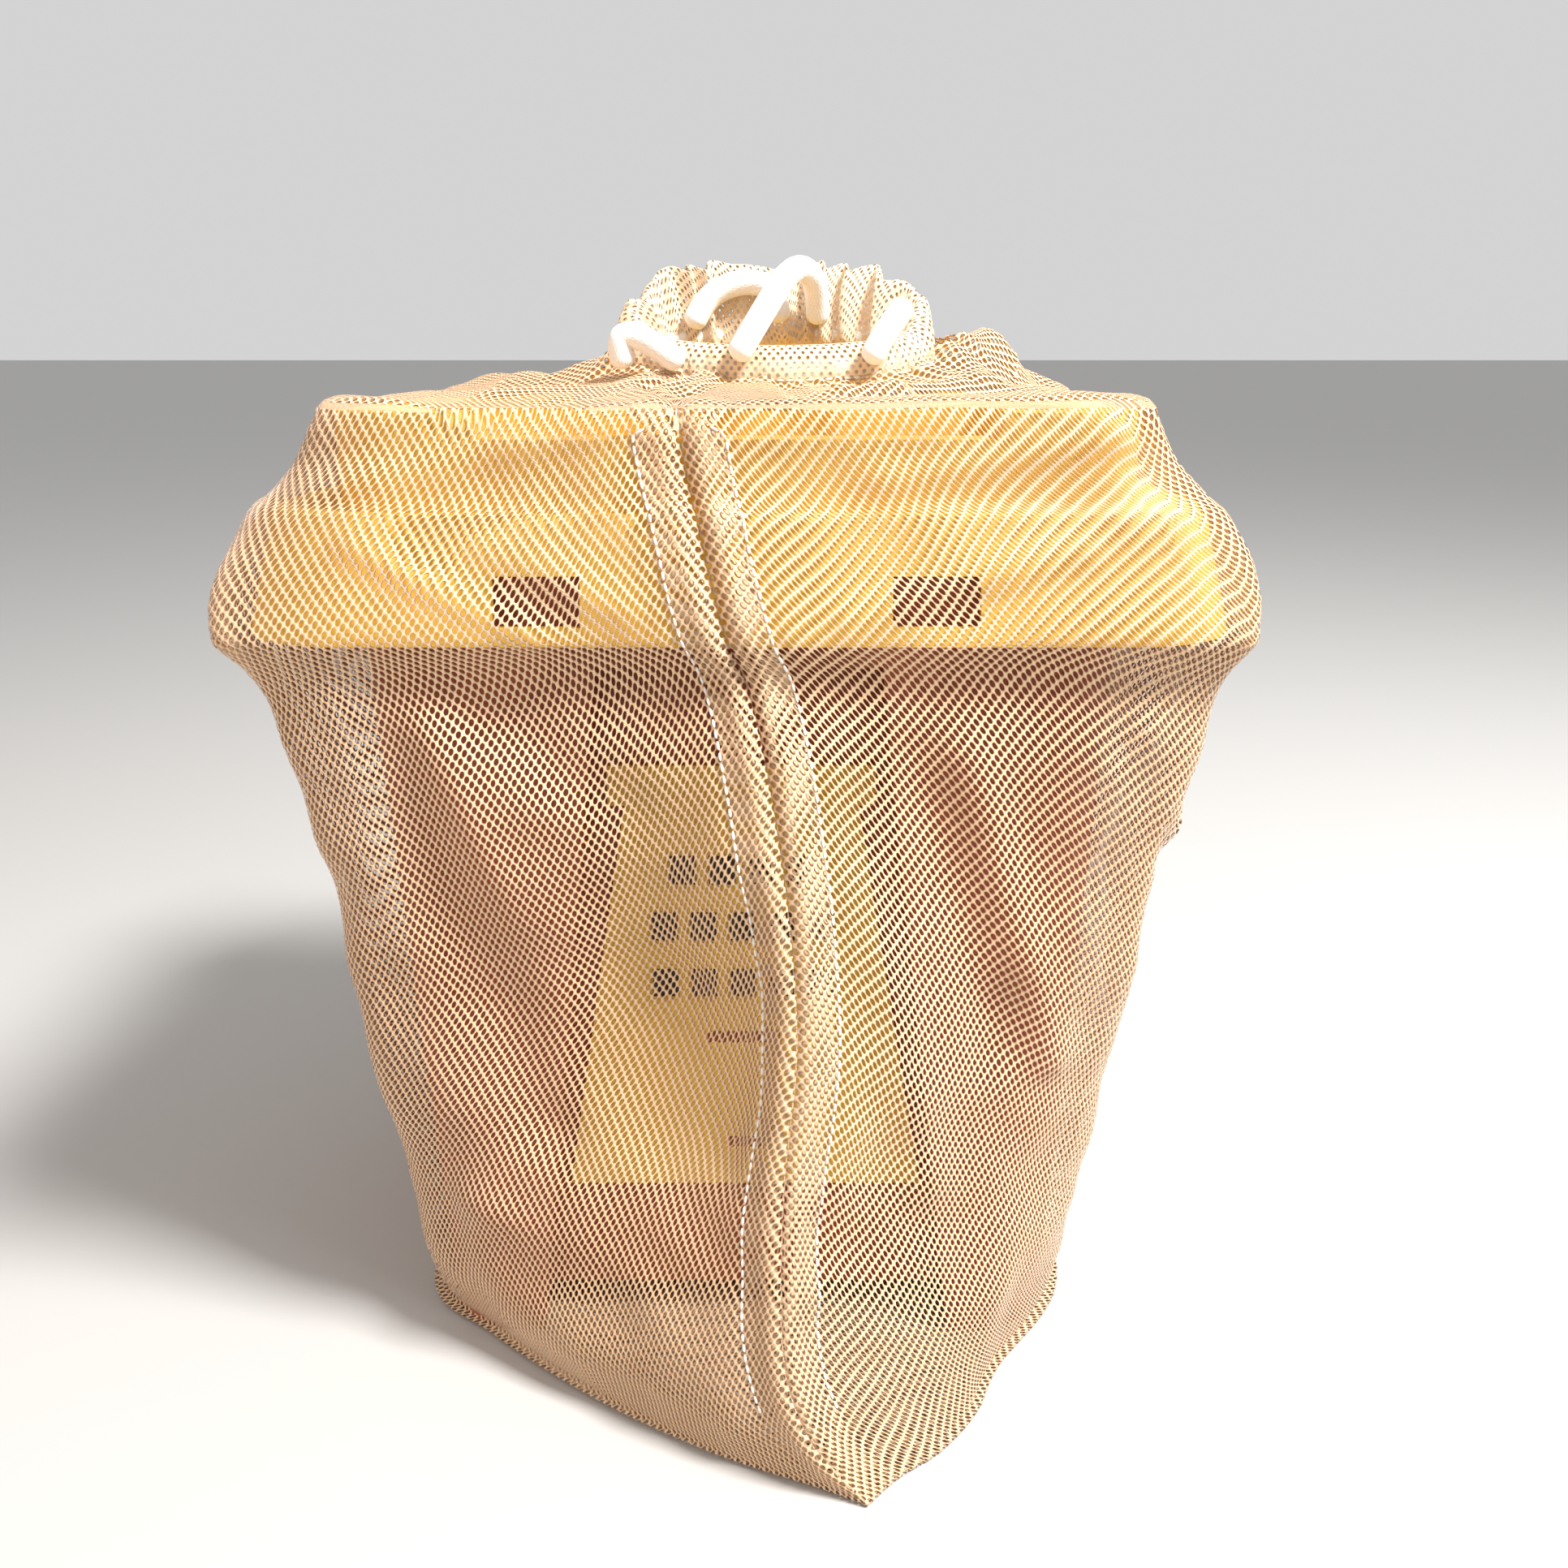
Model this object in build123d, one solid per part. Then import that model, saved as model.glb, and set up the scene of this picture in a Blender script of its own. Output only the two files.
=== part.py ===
"""Mesh laundry bag with a drawstring, standing on the floor around the lidded tub that it holds.

Millimetres, +Z up, origin at the centre of the floor print. The bag is two flat mesh panels sewn
along the front, the bottom and the back, so the full bag stands on two soft corners ("ears").
"""
import math
import os
from build123d import *

# ---- driving dimensions: the contents ----
LID_WIDTH = 280.0          # across the lid's lower edge
LID_DEPTH = 220.0
LID_BOTTOM = 236.0         # height of the lid's lower edge
LID_HEIGHT = 34.0
LID_DRAFT = 8.0            # the lid's sides lean in by this much
LID_WALL = 2.5
LID_CORNER = 34.0
CROWN_WIDTH = 222.0        # raised wall on the lid
CROWN_DEPTH = 194.0
CROWN_HEIGHT = 26.0
CROWN_WALL = 20.0
CROWN_CORNER = 20.0
CROWN_NOTCH_WIDTH = 138.0
CROWN_NOTCH_DEPTH = 7.0
WINDOW_WIDTH = 23.5        # grip windows through the lid's skirt
WINDOW_HEIGHT = 13.3
WINDOW_SILL = 5.0          # lid below each window
WINDOW_SPACING = 107.0
TUB_WIDTH = 220.0          # at the rim
TUB_DEPTH = 200.0
TUB_LEAN = 9.0             # each side leans in by this much towards the floor
TUB_WALL = 2.5
TUB_CORNER = 26.0
TUB_OVERLAP = 20.0         # how far the tub's rim stands up inside the lid
RECESS_TOP_WIDTH = 80.0    # widening recess in the tub's front and back
RECESS_BASE_WIDTH = 134.0
RECESS_FACE = 80.0         # distance of the recess's flat face from the centre
TUB_FLOOR = 12.0           # underside of the tub's floor; only the corner legs go lower
PLATE_HEIGHT = 143.0
PLATE_BASE = 51.5          # height of the plate's lower edge
PLATE_TOP_WIDTH = 66.0
PLATE_TAB_WIDTH = 80.0     # the tabs at its two top corners
PLATE_TAB_HEIGHT = 12.5
PLATE_BASE_WIDTH = 114.0
PLATE_THICK = 2.0
SLOT_HEIGHT = 5.0
SLOTS = ((53.0, 23.0), (15.0, 11.0))             # above the plate's base, width
BAR_HEIGHT = 9.0           # plain raised bars on the plate
BAR_WIDTH = 8.0
BAR_THICK = 0.8
BAR_SPACING = 12.0
BAR_ROWS = ((110.0, 4), (91.5, 5), (72.5, 5))    # above the plate's base, how many
RECESS_DROP = 8.0          # the recess stops this far under the lid

# ---- driving dimensions: the bag ----
CUT_SHARE = 0.48           # how far the cloth cuts across a rounded corner, as a share of its radius
CLOTH = 0.8                # thickness of the knitted mesh
CLEARANCE = 1.5            # cloth surface to the contents
FLOOR_GAP = 0.2            # between the legs and the bottom cloth
SEAM_GAP = 0.1             # each panel stops this far from the seam plane
LAYER_GAP = 0.05           # between cloth layers
ALLOWANCE = 14.0           # width of each opened seam allowance
THREAD_WIDTH = 0.9
THREAD_THICK = 0.45
EAR_REACH = 163.5          # front and back corner of the bag on the floor, from the centre
EAR_TIP = 5.0              # the front seam meets the bottom seam this far in from the tip
WALL_TABLE = (
    # share of the lid's height, cloth beyond the tub's base sideways and frontways, seam's place
    (0.0, 0.0, 0.0, 37.0),
    (0.038, 2.0, 2.0, 28.0),
    (0.148, 6.0, 4.0, 13.5),
    (0.381, 9.5, 6.0, 12.5),
    (0.636, 15.0, 10.0, 15.5),
)
EAR_SIDEWAYS = 37.0        # the bag sits twisted on its contents, so the ears are off centre
SEAM_TOP_X = -16.0         # where the front seam meets the mouth
MOUTH_X = 10.0
MOUTH_Y = 7.0
MOUTH_HALF_WIDTH = 50.0
MOUTH_HALF_DEPTH = 19.0
MOUTH_STAND = 8.5          # the front of the mouth above the crown
MOUTH_RISE = 12.5          # the back of the mouth stands this much higher

# ---- driving dimensions: the drawstring ----
CORD = 8.0                 # diameter
CASING_WALL = 0.7
CASING_PLAY = 0.6          # between the cord and its casing
KNOT_WIDTH = 21.0
KNOT_HEIGHT = 24.0
KNOT_TOP = 126.0
KNOT_SHOULDER = 0.36       # rounding of the knot, as a share of its width
TAIL_X = 5.0               # the tails hang side by side about this line
TAIL_SPREAD = 0.6          # cord surface to the middle between the tails
TAIL_STAND = 14.0          # middle of the tails off the back of the contents
BEND_SHARE = 0.45          # how much of a run each bend of the cord may take

floor_level = CLOTH + FLOOR_GAP
lid_top = LID_BOTTOM + LID_HEIGHT
crown_top = lid_top + CROWN_HEIGHT
mouth_rim = crown_top + MOUTH_STAND
tub_top = LID_BOTTOM + TUB_OVERLAP
seam_angle = math.degrees(math.acos((SEAM_TOP_X - MOUTH_X) / MOUTH_HALF_WIDTH))
casing_radius = CORD / 2 + CASING_PLAY + CASING_WALL


# ---- the tub ----
def rounded_box(width, depth, bottom, top, radius, top_inset=0.0):
    """Upright block with rounded corners that may lean in towards its top."""
    base = Plane.XY.offset(bottom) * RectangleRounded(width, depth, radius)
    cover = Plane.XY.offset(top) * RectangleRounded(
        width - 2 * top_inset, depth - 2 * top_inset, radius - top_inset / 2)
    return loft([base.face(), cover.face()])


def leaning_block(top_width, base_width, base, top, near_y, far_y):
    """Block seen from the front as a trapezium, between two distances from the centre."""
    outline = Plane.XZ * Polygon(
        (-base_width / 2, base), (base_width / 2, base), (top_width / 2, top), (-top_width / 2, top),
        align=None)
    return extrude(Pos(0, near_y, 0) * outline, amount=near_y - far_y)


def tub_block(inset, bottom, top):
    """The tub's leaning outline, or one inside it, between two heights."""
    lean = TUB_LEAN / (tub_top - floor_level)

    def outline(z):
        shrink = inset + lean * (tub_top - z)
        return Plane.XY.offset(z) * RectangleRounded(
            TUB_WIDTH - 2 * shrink, TUB_DEPTH - 2 * shrink, TUB_CORNER - inset)

    return loft([outline(bottom).face(), outline(top).face()])


def make_tub():
    """Tub with a widening recess front and back, standing on four corner legs."""
    tub = tub_block(0, floor_level, tub_top)
    hollow = tub_block(TUB_WALL, TUB_FLOOR + TUB_WALL, tub_top + 1)
    underside = tub_block(TUB_WALL, floor_level - 1, TUB_FLOOR)
    recess_top = LID_BOTTOM - RECESS_DROP
    recess = leaning_block(
        RECESS_TOP_WIDTH, RECESS_BASE_WIDTH, floor_level - 1, recess_top, TUB_DEPTH / 2 + 1,
        RECESS_FACE)
    backing = leaning_block(
        RECESS_TOP_WIDTH + 2 * TUB_WALL, RECESS_BASE_WIDTH + 2 * TUB_WALL, TUB_FLOOR,
        recess_top + TUB_WALL, TUB_DEPTH / 2, RECESS_FACE - TUB_WALL)
    for turn in (0, 180):
        hollow -= Rot(0, 0, turn) * backing
    tub = tub - hollow - underside
    tub -= Pos(0, 0, floor_level - 1) * Box(
        TUB_WIDTH + 2, TUB_DEPTH - 4 * TUB_CORNER, TUB_FLOOR - floor_level + 1,
        align=(Align.CENTER, Align.CENTER, Align.MIN))
    for turn in (0, 180):
        tub -= Rot(0, 0, turn) * recess
    return tub


def make_lid():
    """Lid with a deep leaning skirt, grip windows and a raised crown wall with shallow notches."""
    lid = rounded_box(LID_WIDTH, LID_DEPTH, LID_BOTTOM, lid_top, LID_CORNER, LID_DRAFT)
    lid -= rounded_box(
        LID_WIDTH - 2 * LID_WALL, LID_DEPTH - 2 * LID_WALL, LID_BOTTOM - 0.01, lid_top - LID_WALL,
        LID_CORNER - LID_WALL, LID_DRAFT)
    crown = rounded_box(
        CROWN_WIDTH, CROWN_DEPTH, lid_top - LID_WALL / 2, crown_top, CROWN_CORNER, 0.0)
    crown -= rounded_box(
        CROWN_WIDTH - 2 * CROWN_WALL, CROWN_DEPTH - 2 * CROWN_WALL, lid_top - LID_WALL, crown_top + 1,
        CROWN_CORNER / 2)
    notch = leaning_block(
        CROWN_NOTCH_WIDTH + CROWN_NOTCH_DEPTH, CROWN_NOTCH_WIDTH, crown_top - CROWN_NOTCH_DEPTH,
        crown_top + 1, LID_DEPTH, -LID_DEPTH)
    lid += crown - notch
    window_z = LID_BOTTOM + WINDOW_SILL
    for x in (-WINDOW_SPACING / 2, WINDOW_SPACING / 2):
        lid -= Pos(x, 0, window_z) * Box(
            WINDOW_WIDTH, LID_DEPTH + 2, WINDOW_HEIGHT, align=(Align.CENTER, Align.CENTER, Align.MIN))
    return lid


def make_plate():
    """Flat plate in the tub's front recess, widening downwards, with two plain slots."""
    back_y = -RECESS_FACE
    plate = leaning_block(
        PLATE_TOP_WIDTH, PLATE_BASE_WIDTH, PLATE_BASE, PLATE_BASE + PLATE_HEIGHT,
        back_y, back_y - PLATE_THICK)
    plate += leaning_block(
        PLATE_TAB_WIDTH, PLATE_TAB_WIDTH, PLATE_BASE + PLATE_HEIGHT - PLATE_TAB_HEIGHT,
        PLATE_BASE + PLATE_HEIGHT, back_y, back_y - PLATE_THICK)
    for above, slot_width in SLOTS:
        slot_z = PLATE_BASE + above
        plate -= leaning_block(
            slot_width, slot_width, slot_z - SLOT_HEIGHT / 2, slot_z + SLOT_HEIGHT / 2,
            back_y + PLATE_THICK, back_y - 2 * PLATE_THICK)
    return plate


def make_bars():
    """Three rows of plain raised bars on the plate."""
    front_y = -RECESS_FACE - PLATE_THICK
    bars = Part()
    for above, count in BAR_ROWS:
        row_z = PLATE_BASE + above
        for k in range(count):
            x = (k - (count - 1) / 2) * BAR_SPACING
            bars += Pos(x, 0, 0) * leaning_block(
                BAR_WIDTH, BAR_WIDTH, row_z - BAR_HEIGHT / 2, row_z + BAR_HEIGHT / 2,
                front_y, front_y - BAR_THICK)
    return bars


# ---- the bag's shape ----
def seam_reach(z):
    """How far the front seam stands from the centre: out at the ear, in against the lid."""
    lid_front = LID_DEPTH / 2 + 2 * CLEARANCE
    return EAR_REACH + (lid_front - EAR_REACH) * z / LID_BOTTOM


def wall_half_ring(side, z, half_width, front_y, corner, seam_x):
    """Points from the front seam round the front corner to the middle of one side."""
    seam_y = -seam_reach(z) if z < LID_BOTTOM else -front_y
    corner_cut = CUT_SHARE * corner
    corner_x = side * (half_width - corner_cut)
    run = math.hypot(corner_x - seam_x, front_y + seam_y)
    step_x = (corner_x - seam_x) / run
    step_y = (-front_y - seam_y) / run
    near = [(seam_x + side * SEAM_GAP, seam_y)]
    for reach in (ALLOWANCE - THREAD_WIDTH, ALLOWANCE, run / 2):
        near.append((seam_x + step_x * reach, seam_y + step_y * reach))
    near.append((corner_x, -front_y))
    near.append((side * half_width, corner_cut - front_y))
    near.append((side * half_width, 0.0))
    return [Vector(x, y, z) for x, y in near]


def wall_ring(side, *shape):
    """The back half is the other side's front half, turned half round."""
    front = wall_half_ring(side, *shape)
    other = wall_half_ring(-side, *shape)
    return front + [Vector(-p.X, -p.Y, p.Z) for p in reversed(other[:-1])]


def bottom_ring(side, edge):
    """The bottom seam: a straight line on the floor between the two ears."""
    length = EAR_REACH - EAR_TIP
    points = []
    for p in edge:
        y = p.Y * length / EAR_REACH
        points.append(Vector(-y / EAR_REACH * EAR_SIDEWAYS + side * SEAM_GAP, y, 0))
    return points


def mouth_ring(side, grow, z_front, rise):
    """Oval round the mouth, from the front seam round one side to the back seam."""
    shares = (0, 0.06, 0.064, 0.16, 0.27, 0.38, 0.5, 0.62, 0.73, 0.84, 0.936, 0.94, 1)
    points = []
    for share in shares:
        angle = math.radians(-seam_angle + side * 180 * share)
        across = math.sin(angle)
        points.append(Vector(
            MOUTH_X + (MOUTH_HALF_WIDTH + grow) * math.cos(angle),
            MOUTH_Y + (MOUTH_HALF_DEPTH + grow) * across,
            z_front + rise * (1 + across) / 2))
    for end in (0, -1):
        points[end] += Vector(side * SEAM_GAP, 0, 0)
    return points


def bag_rings(side):
    """Rows of points on the bag's outer surface, from the bottom seam up to the mouth."""
    lid_half = LID_WIDTH / 2 + CLEARANCE
    lid_front = LID_DEPTH / 2 + CLEARANCE
    top_half = lid_half - LID_DRAFT + 1
    top_front = lid_front - LID_DRAFT + 1
    base_half = TUB_WIDTH / 2 - TUB_LEAN + 2 * CLEARANCE
    base_front = TUB_DEPTH / 2 - TUB_LEAN + 2 * CLEARANCE
    crown_half = CROWN_WIDTH / 2 + CLEARANCE
    crown_front = CROWN_DEPTH / 2 + CLEARANCE
    crown_z = crown_top + CLEARANCE
    low_walls = tuple(
        (share * LID_BOTTOM, base_half + wider, base_front + deeper, TUB_CORNER, seam_x)
        for share, wider, deeper, seam_x in WALL_TABLE)
    walls = low_walls + (
        # height, half width, half depth, corner, sideways place of the seam
        (0.87 * LID_BOTTOM, lid_half - 12.5, lid_front - 3, LID_CORNER, 7.5),
        (LID_BOTTOM - 2, lid_half, lid_front, LID_CORNER, -1.5),
        (LID_BOTTOM + 12, lid_half - 0.5, lid_front - 0.5, LID_CORNER, -5.0),
        (lid_top + CLEARANCE, top_half, top_front, LID_CORNER, -10.5),
        (crown_z, crown_half, crown_front, CROWN_CORNER, -15.5),
        (crown_z + 1.5, crown_half - CROWN_WALL, crown_front - CROWN_WALL, CROWN_CORNER, SEAM_TOP_X),
    )
    rings = [wall_ring(side, *wall) for wall in walls]
    rings.insert(0, bottom_ring(side, rings[0]))
    rings.append(mouth_ring(side, 10, mouth_rim - 2, MOUTH_RISE / 2))
    rings.append(mouth_ring(side, casing_radius + 0.5, mouth_rim - casing_radius / 2, MOUTH_RISE))
    return rings


def inward(rings, side):
    """Direction into the bag at every point, about one unit long."""
    last_row = len(rings) - 1
    last_col = len(rings[0]) - 1
    directions = []
    for i, ring in enumerate(rings):
        row = []
        for j in range(len(ring)):
            along = ring[min(j + 1, last_col)] - ring[max(j - 1, 0)]
            up = rings[min(i + 1, last_row)][j] - rings[max(i - 1, 0)][j]
            if i == 0:
                direction = Vector(0, 0, 1)
            elif i == 1:
                flat = up.cross(along) * side
                flat = Vector(flat.X, flat.Y, 0).normalized()
                direction = flat + Vector(0, 0, 1)
            else:
                direction = (up.cross(along) * side).normalized()
            if j in (0, last_col) and i > 0:
                sign = 1 if j == 0 else -1
                direction = Vector(0, sign * up.Z, -sign * up.Y).normalized()
                if i == 1:
                    direction = Vector(0, sign, 1)
            row.append(direction)
        directions.append(row)
    return directions


def cloth_solid(rings, directions, outer, inner, rows, cols):
    """Closed sheet between two depths under the bag's outer surface, made of flat facets."""
    def layer(depth):
        return [[rings[i][j] + directions[i][j] * depth for j in cols] for i in rows]

    skins = (layer(outer), layer(inner))
    height = len(rows)
    width = len(cols)
    middle = len(rings[0]) // 2
    faces = []

    def facet(a, b, c):
        faces.append(Face(Wire.make_polygon([a, b, c])))

    for skin in skins:
        for i in range(height - 1):
            for j in range(width - 1):
                if cols[j] < middle:
                    facet(skin[i][j], skin[i][j + 1], skin[i + 1][j + 1])
                    facet(skin[i][j], skin[i + 1][j + 1], skin[i + 1][j])
                else:
                    facet(skin[i][j], skin[i][j + 1], skin[i + 1][j])
                    facet(skin[i][j + 1], skin[i + 1][j + 1], skin[i + 1][j])
    edge = [(0, j) for j in range(width)]
    edge += [(i, width - 1) for i in range(1, height)]
    edge += [(height - 1, j) for j in range(width - 2, -1, -1)]
    edge += [(i, 0) for i in range(height - 2, 0, -1)]
    for (i, j), (k, l) in zip(edge, edge[1:] + edge[:1]):
        facet(skins[0][i][j], skins[0][k][l], skins[1][k][l])
        facet(skins[0][i][j], skins[1][k][l], skins[1][i][j])
    return Solid(Shell(faces))


def make_half(side, name):
    """One panel with its turned seam allowances and the rows of topstitching that hold them."""
    rings = bag_rings(side)
    into = inward(rings, side)
    all_rows = range(len(rings))
    wall_rows = range(1, len(rings))
    count = len(rings[0])
    front = (0, 1, 2)
    back = (count - 3, count - 2, count - 1)
    lining_top = CLOTH + LAYER_GAP
    lining_base = lining_top + CLOTH
    thread_top = -LAYER_GAP - THREAD_THICK
    wall_threads = range(2, len(rings) - 1)
    return {
        f"{name}_panel": cloth_solid(rings, into, 0, CLOTH, all_rows, range(count)),
        f"front_seam_allowance_{name}": cloth_solid(
            rings, into, lining_top, lining_base, wall_rows, front),
        f"back_seam_allowance_{name}": cloth_solid(
            rings, into, lining_top, lining_base, wall_rows, back),
        f"front_topstitch_{name}": cloth_solid(
            rings, into, thread_top, -LAYER_GAP, wall_threads, front[1:]),
        f"back_topstitch_{name}": cloth_solid(
            rings, into, thread_top, -LAYER_GAP, wall_threads, back[:2]),
    }


# ---- the mouth and the drawstring ----
def mouth_path(start, sweep_angle):
    """Part of the mouth's oval, leaning up towards the back."""
    plane = Plane(
        origin=(MOUTH_X, MOUTH_Y, mouth_rim + MOUTH_RISE / 2),
        x_dir=(1, 0, 0), z_dir=(0, -MOUTH_RISE, 2 * MOUTH_HALF_DEPTH))
    return plane * EllipticalCenterArc(
        (0, 0), MOUTH_HALF_WIDTH, MOUTH_HALF_DEPTH, start, arc_size=sweep_angle)


def tube_along(path, radius, bore=0.0):
    """Round tube or rod that follows a path."""
    section = Plane(origin=path @ 0, z_dir=path % 0) * Circle(radius)
    if bore:
        section -= Plane(origin=path @ 0, z_dir=path % 0) * Circle(bore)
    return sweep(section, path=path)


def cord_radii(points):
    """Bend radius at each inner point: as large as its two runs allow."""
    radii = []
    for before, here, after in zip(points, points[1:], points[2:]):
        first = Vector(*here) - Vector(*before)
        second = Vector(*after) - Vector(*here)
        turn = math.radians(first.get_angle(second))
        radii.append(BEND_SHARE * min(first.length, second.length) / math.tan(turn / 2))
    return radii


def cord(name, points):
    """Cord along straight runs joined by tangent arcs; prints how tightly it bends."""
    radii = cord_radii(points)
    path = FilletPolyline(*points, radius=radii)
    body = tube_along(path, CORD / 2)
    section = math.pi * (CORD / 2) ** 2
    print(f"{name}: length {path.length:.1f}, volume / (section x length) "
          f"{body.volume / (section * path.length):.4f}, radii "
          + " ".join(f"{radius:.0f}" for radius in radii))
    return body


# the slack loops, from the middle of the mouth and the height of its front
LEFT_LOOP = [(-48.5, -22.5, 4.5), (-49.5, -23, 9), (-47.3, -23, 12), (-42, -23.5, 11),
             (-36.5, -24, 7.5), (-32, -24.5, 4.5)]
MAIN_LOOP = [(-11, -26, 7), (-7, -23.5, 13.5), (-1.5, -17, 22.5), (3, -11, 29.5), (7.7, -5, 32.9),
             (12, 1, 30.5), (14, 6.5, 24.5), (14, 9.5, 18.5)]
BACK_LOOP = [(-27, 8, 17), (-24, 9, 22.5), (-18, 10, 27), (-10, 10.5, 29), (-3, 9.5, 27.8),
             (0, 8.5, 24), (0.8, 8, 19)]
RIGHT_ROD = [(31, -23, 6), (34, -21.5, 11.5), (40, -18, 19.5)]


def at_mouth(points):
    """Moves a route to the bag's mouth."""
    return [(MOUTH_X + x, MOUTH_Y + y, mouth_rim + z) for x, y, z in points]


def tail_route(side):
    """Tail from the back of the mouth, over the crown and down the back of the bag to the knot."""
    x = TAIL_X + side * (CORD / 2 + TAIL_SPREAD)
    mouth_back = MOUTH_Y + MOUTH_HALF_DEPTH + casing_radius
    lid_back = LID_DEPTH / 2
    drop = LID_BOTTOM - KNOT_TOP
    lean = EAR_REACH - lid_back
    return [
        (x + 3, mouth_back + 0.5, mouth_rim + MOUTH_RISE + 2),
        (x + 2, mouth_back + 12.7, mouth_rim + MOUTH_RISE + 4.5),
        (x + 1, mouth_back + 28.7, mouth_rim + MOUTH_RISE + 2),
        (x, lid_back - 33, crown_top + 17.5),
        (x - 1, lid_back - 16, crown_top + 13.5),
        (x - 1, lid_back - 1, crown_top + 7),
        (x, lid_back + 9.5, lid_top + 20),
        (x + side * 0.3, lid_back + TAIL_STAND, lid_top),
        (x + side * 0.2, lid_back + TAIL_STAND + 1, LID_BOTTOM + 12),
        (x + side * 0.5, lid_back + TAIL_STAND + 0.065 * lean, LID_BOTTOM - 0.11 * drop),
        (x + side * 1.5, lid_back + TAIL_STAND + 0.159 * lean, LID_BOTTOM - 0.336 * drop),
        (x + side * 1.2, lid_back + TAIL_STAND + 0.271 * lean, LID_BOTTOM - 0.564 * drop),
        (x + side * 0.5, lid_back + TAIL_STAND + 0.374 * lean, LID_BOTTOM - 0.782 * drop),
        (x, lid_back + TAIL_STAND + 0.458 * lean, KNOT_TOP),
    ]


def make_knot():
    """Knot that both tails share, drawn up tight."""
    tail_end = tail_route(1)[-1]
    body = Cylinder(KNOT_WIDTH / 2, KNOT_HEIGHT)
    body = fillet(body.edges().filter_by(GeomType.CIRCLE), KNOT_WIDTH * KNOT_SHOULDER)
    return Pos(TAIL_X, tail_end[1] + 1.5, KNOT_TOP - KNOT_HEIGHT / 2) * body


def make_tail_end(side):
    """Cord end below the knot, cut square and heat-sealed."""
    x, y, z = tail_route(side)[-1]
    base = z - KNOT_HEIGHT
    return cord(f"tail_end_{side}", [
        (x, y + 2.5, base), (x + side * 1.5, y + 4.5, base - 13), (x + side * 4, y + 7.5, base - 25)])


parts = {
    "tub_body": make_tub(),
    "tub_lid": make_lid(),
    "front_plate": make_plate(),
    "plate_bars": make_bars(),
}
parts.update(make_half(-1, "left"))
parts.update(make_half(1, "right"))
for name, start in (("left", -seam_angle - 180), ("right", -seam_angle)):
    parts[f"mouth_casing_{name}"] = tube_along(
        mouth_path(start + 1, 178), casing_radius, casing_radius - CASING_WALL)
parts["drawstring_ring"] = tube_along(mouth_path(0, 360), CORD / 2)
parts["slack_loop_left"] = cord("slack_loop_left", at_mouth(LEFT_LOOP))
parts["slack_loop_main"] = cord("slack_loop_main", at_mouth(MAIN_LOOP))
parts["slack_loop_back"] = cord("slack_loop_back", at_mouth(BACK_LOOP))
parts["slack_end_right"] = cord("slack_end_right", at_mouth(RIGHT_ROD))
for side, name in ((-1, "left"), (1, "right")):
    parts[f"drawstring_tail_{name}"] = cord(f"drawstring_tail_{name}", tail_route(side))
    parts[f"tail_end_{name}"] = make_tail_end(side)
parts["tail_knot"] = make_knot()

os.makedirs("parts", exist_ok=True)
for node, shape in parts.items():
    shape.label = node
    export_step(shape, f"parts/{node}.step")
    print(f"{node}: volume {shape.volume:.0f}, valid {shape.is_valid}")
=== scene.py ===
"""Mesh laundry bag with a drawstring, drawn shut over a lidded tub. Metres, in the CAD frame."""
import math
import random

import bmesh
import bpy
import numpy as np
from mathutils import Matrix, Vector, noise


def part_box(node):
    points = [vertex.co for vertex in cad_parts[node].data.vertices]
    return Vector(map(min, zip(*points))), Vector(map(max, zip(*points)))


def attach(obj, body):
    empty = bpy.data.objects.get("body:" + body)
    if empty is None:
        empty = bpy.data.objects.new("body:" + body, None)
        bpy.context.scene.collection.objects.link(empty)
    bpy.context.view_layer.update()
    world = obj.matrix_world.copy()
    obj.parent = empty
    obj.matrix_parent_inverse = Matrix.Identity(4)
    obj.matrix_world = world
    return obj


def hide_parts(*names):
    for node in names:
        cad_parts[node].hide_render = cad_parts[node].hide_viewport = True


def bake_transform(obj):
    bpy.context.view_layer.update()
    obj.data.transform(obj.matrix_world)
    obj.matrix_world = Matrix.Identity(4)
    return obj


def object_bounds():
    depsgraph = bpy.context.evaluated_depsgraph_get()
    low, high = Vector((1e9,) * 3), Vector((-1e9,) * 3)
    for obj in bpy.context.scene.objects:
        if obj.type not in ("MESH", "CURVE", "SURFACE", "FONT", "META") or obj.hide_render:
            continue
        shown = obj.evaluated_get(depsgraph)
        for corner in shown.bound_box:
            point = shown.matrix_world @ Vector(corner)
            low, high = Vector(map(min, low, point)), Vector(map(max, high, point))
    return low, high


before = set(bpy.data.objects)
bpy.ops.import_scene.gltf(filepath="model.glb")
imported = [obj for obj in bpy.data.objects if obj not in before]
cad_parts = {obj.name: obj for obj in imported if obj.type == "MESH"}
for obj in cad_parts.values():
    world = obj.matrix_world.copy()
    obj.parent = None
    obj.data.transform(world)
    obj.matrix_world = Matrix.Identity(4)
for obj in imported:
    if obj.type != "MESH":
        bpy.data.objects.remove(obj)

MM = 0.001
cad_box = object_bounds()

# ---------------------------------------------------------------------------------------------
# Camera, floor and light: a plain pale studio. One big soft lamp stands high on the right, a
# weaker warm one low on the left, and the white surroundings fill the shadows.
# ---------------------------------------------------------------------------------------------
scene = bpy.context.scene
scene.view_settings.view_transform = "Standard"
scene.view_settings.exposure = 0.25

camera_data = bpy.data.cameras.new("camera")
camera_data.lens = 31.2
camera_data.sensor_width = 36.0
camera_data.clip_start = 0.01
camera = bpy.data.objects.new("camera", camera_data)
camera.location = (0.0127, -0.4666, 0.312)
camera.rotation_euler = (math.radians(90 - 17.76), 0, 0)
scene.collection.objects.link(camera)
scene.camera = camera

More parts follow.
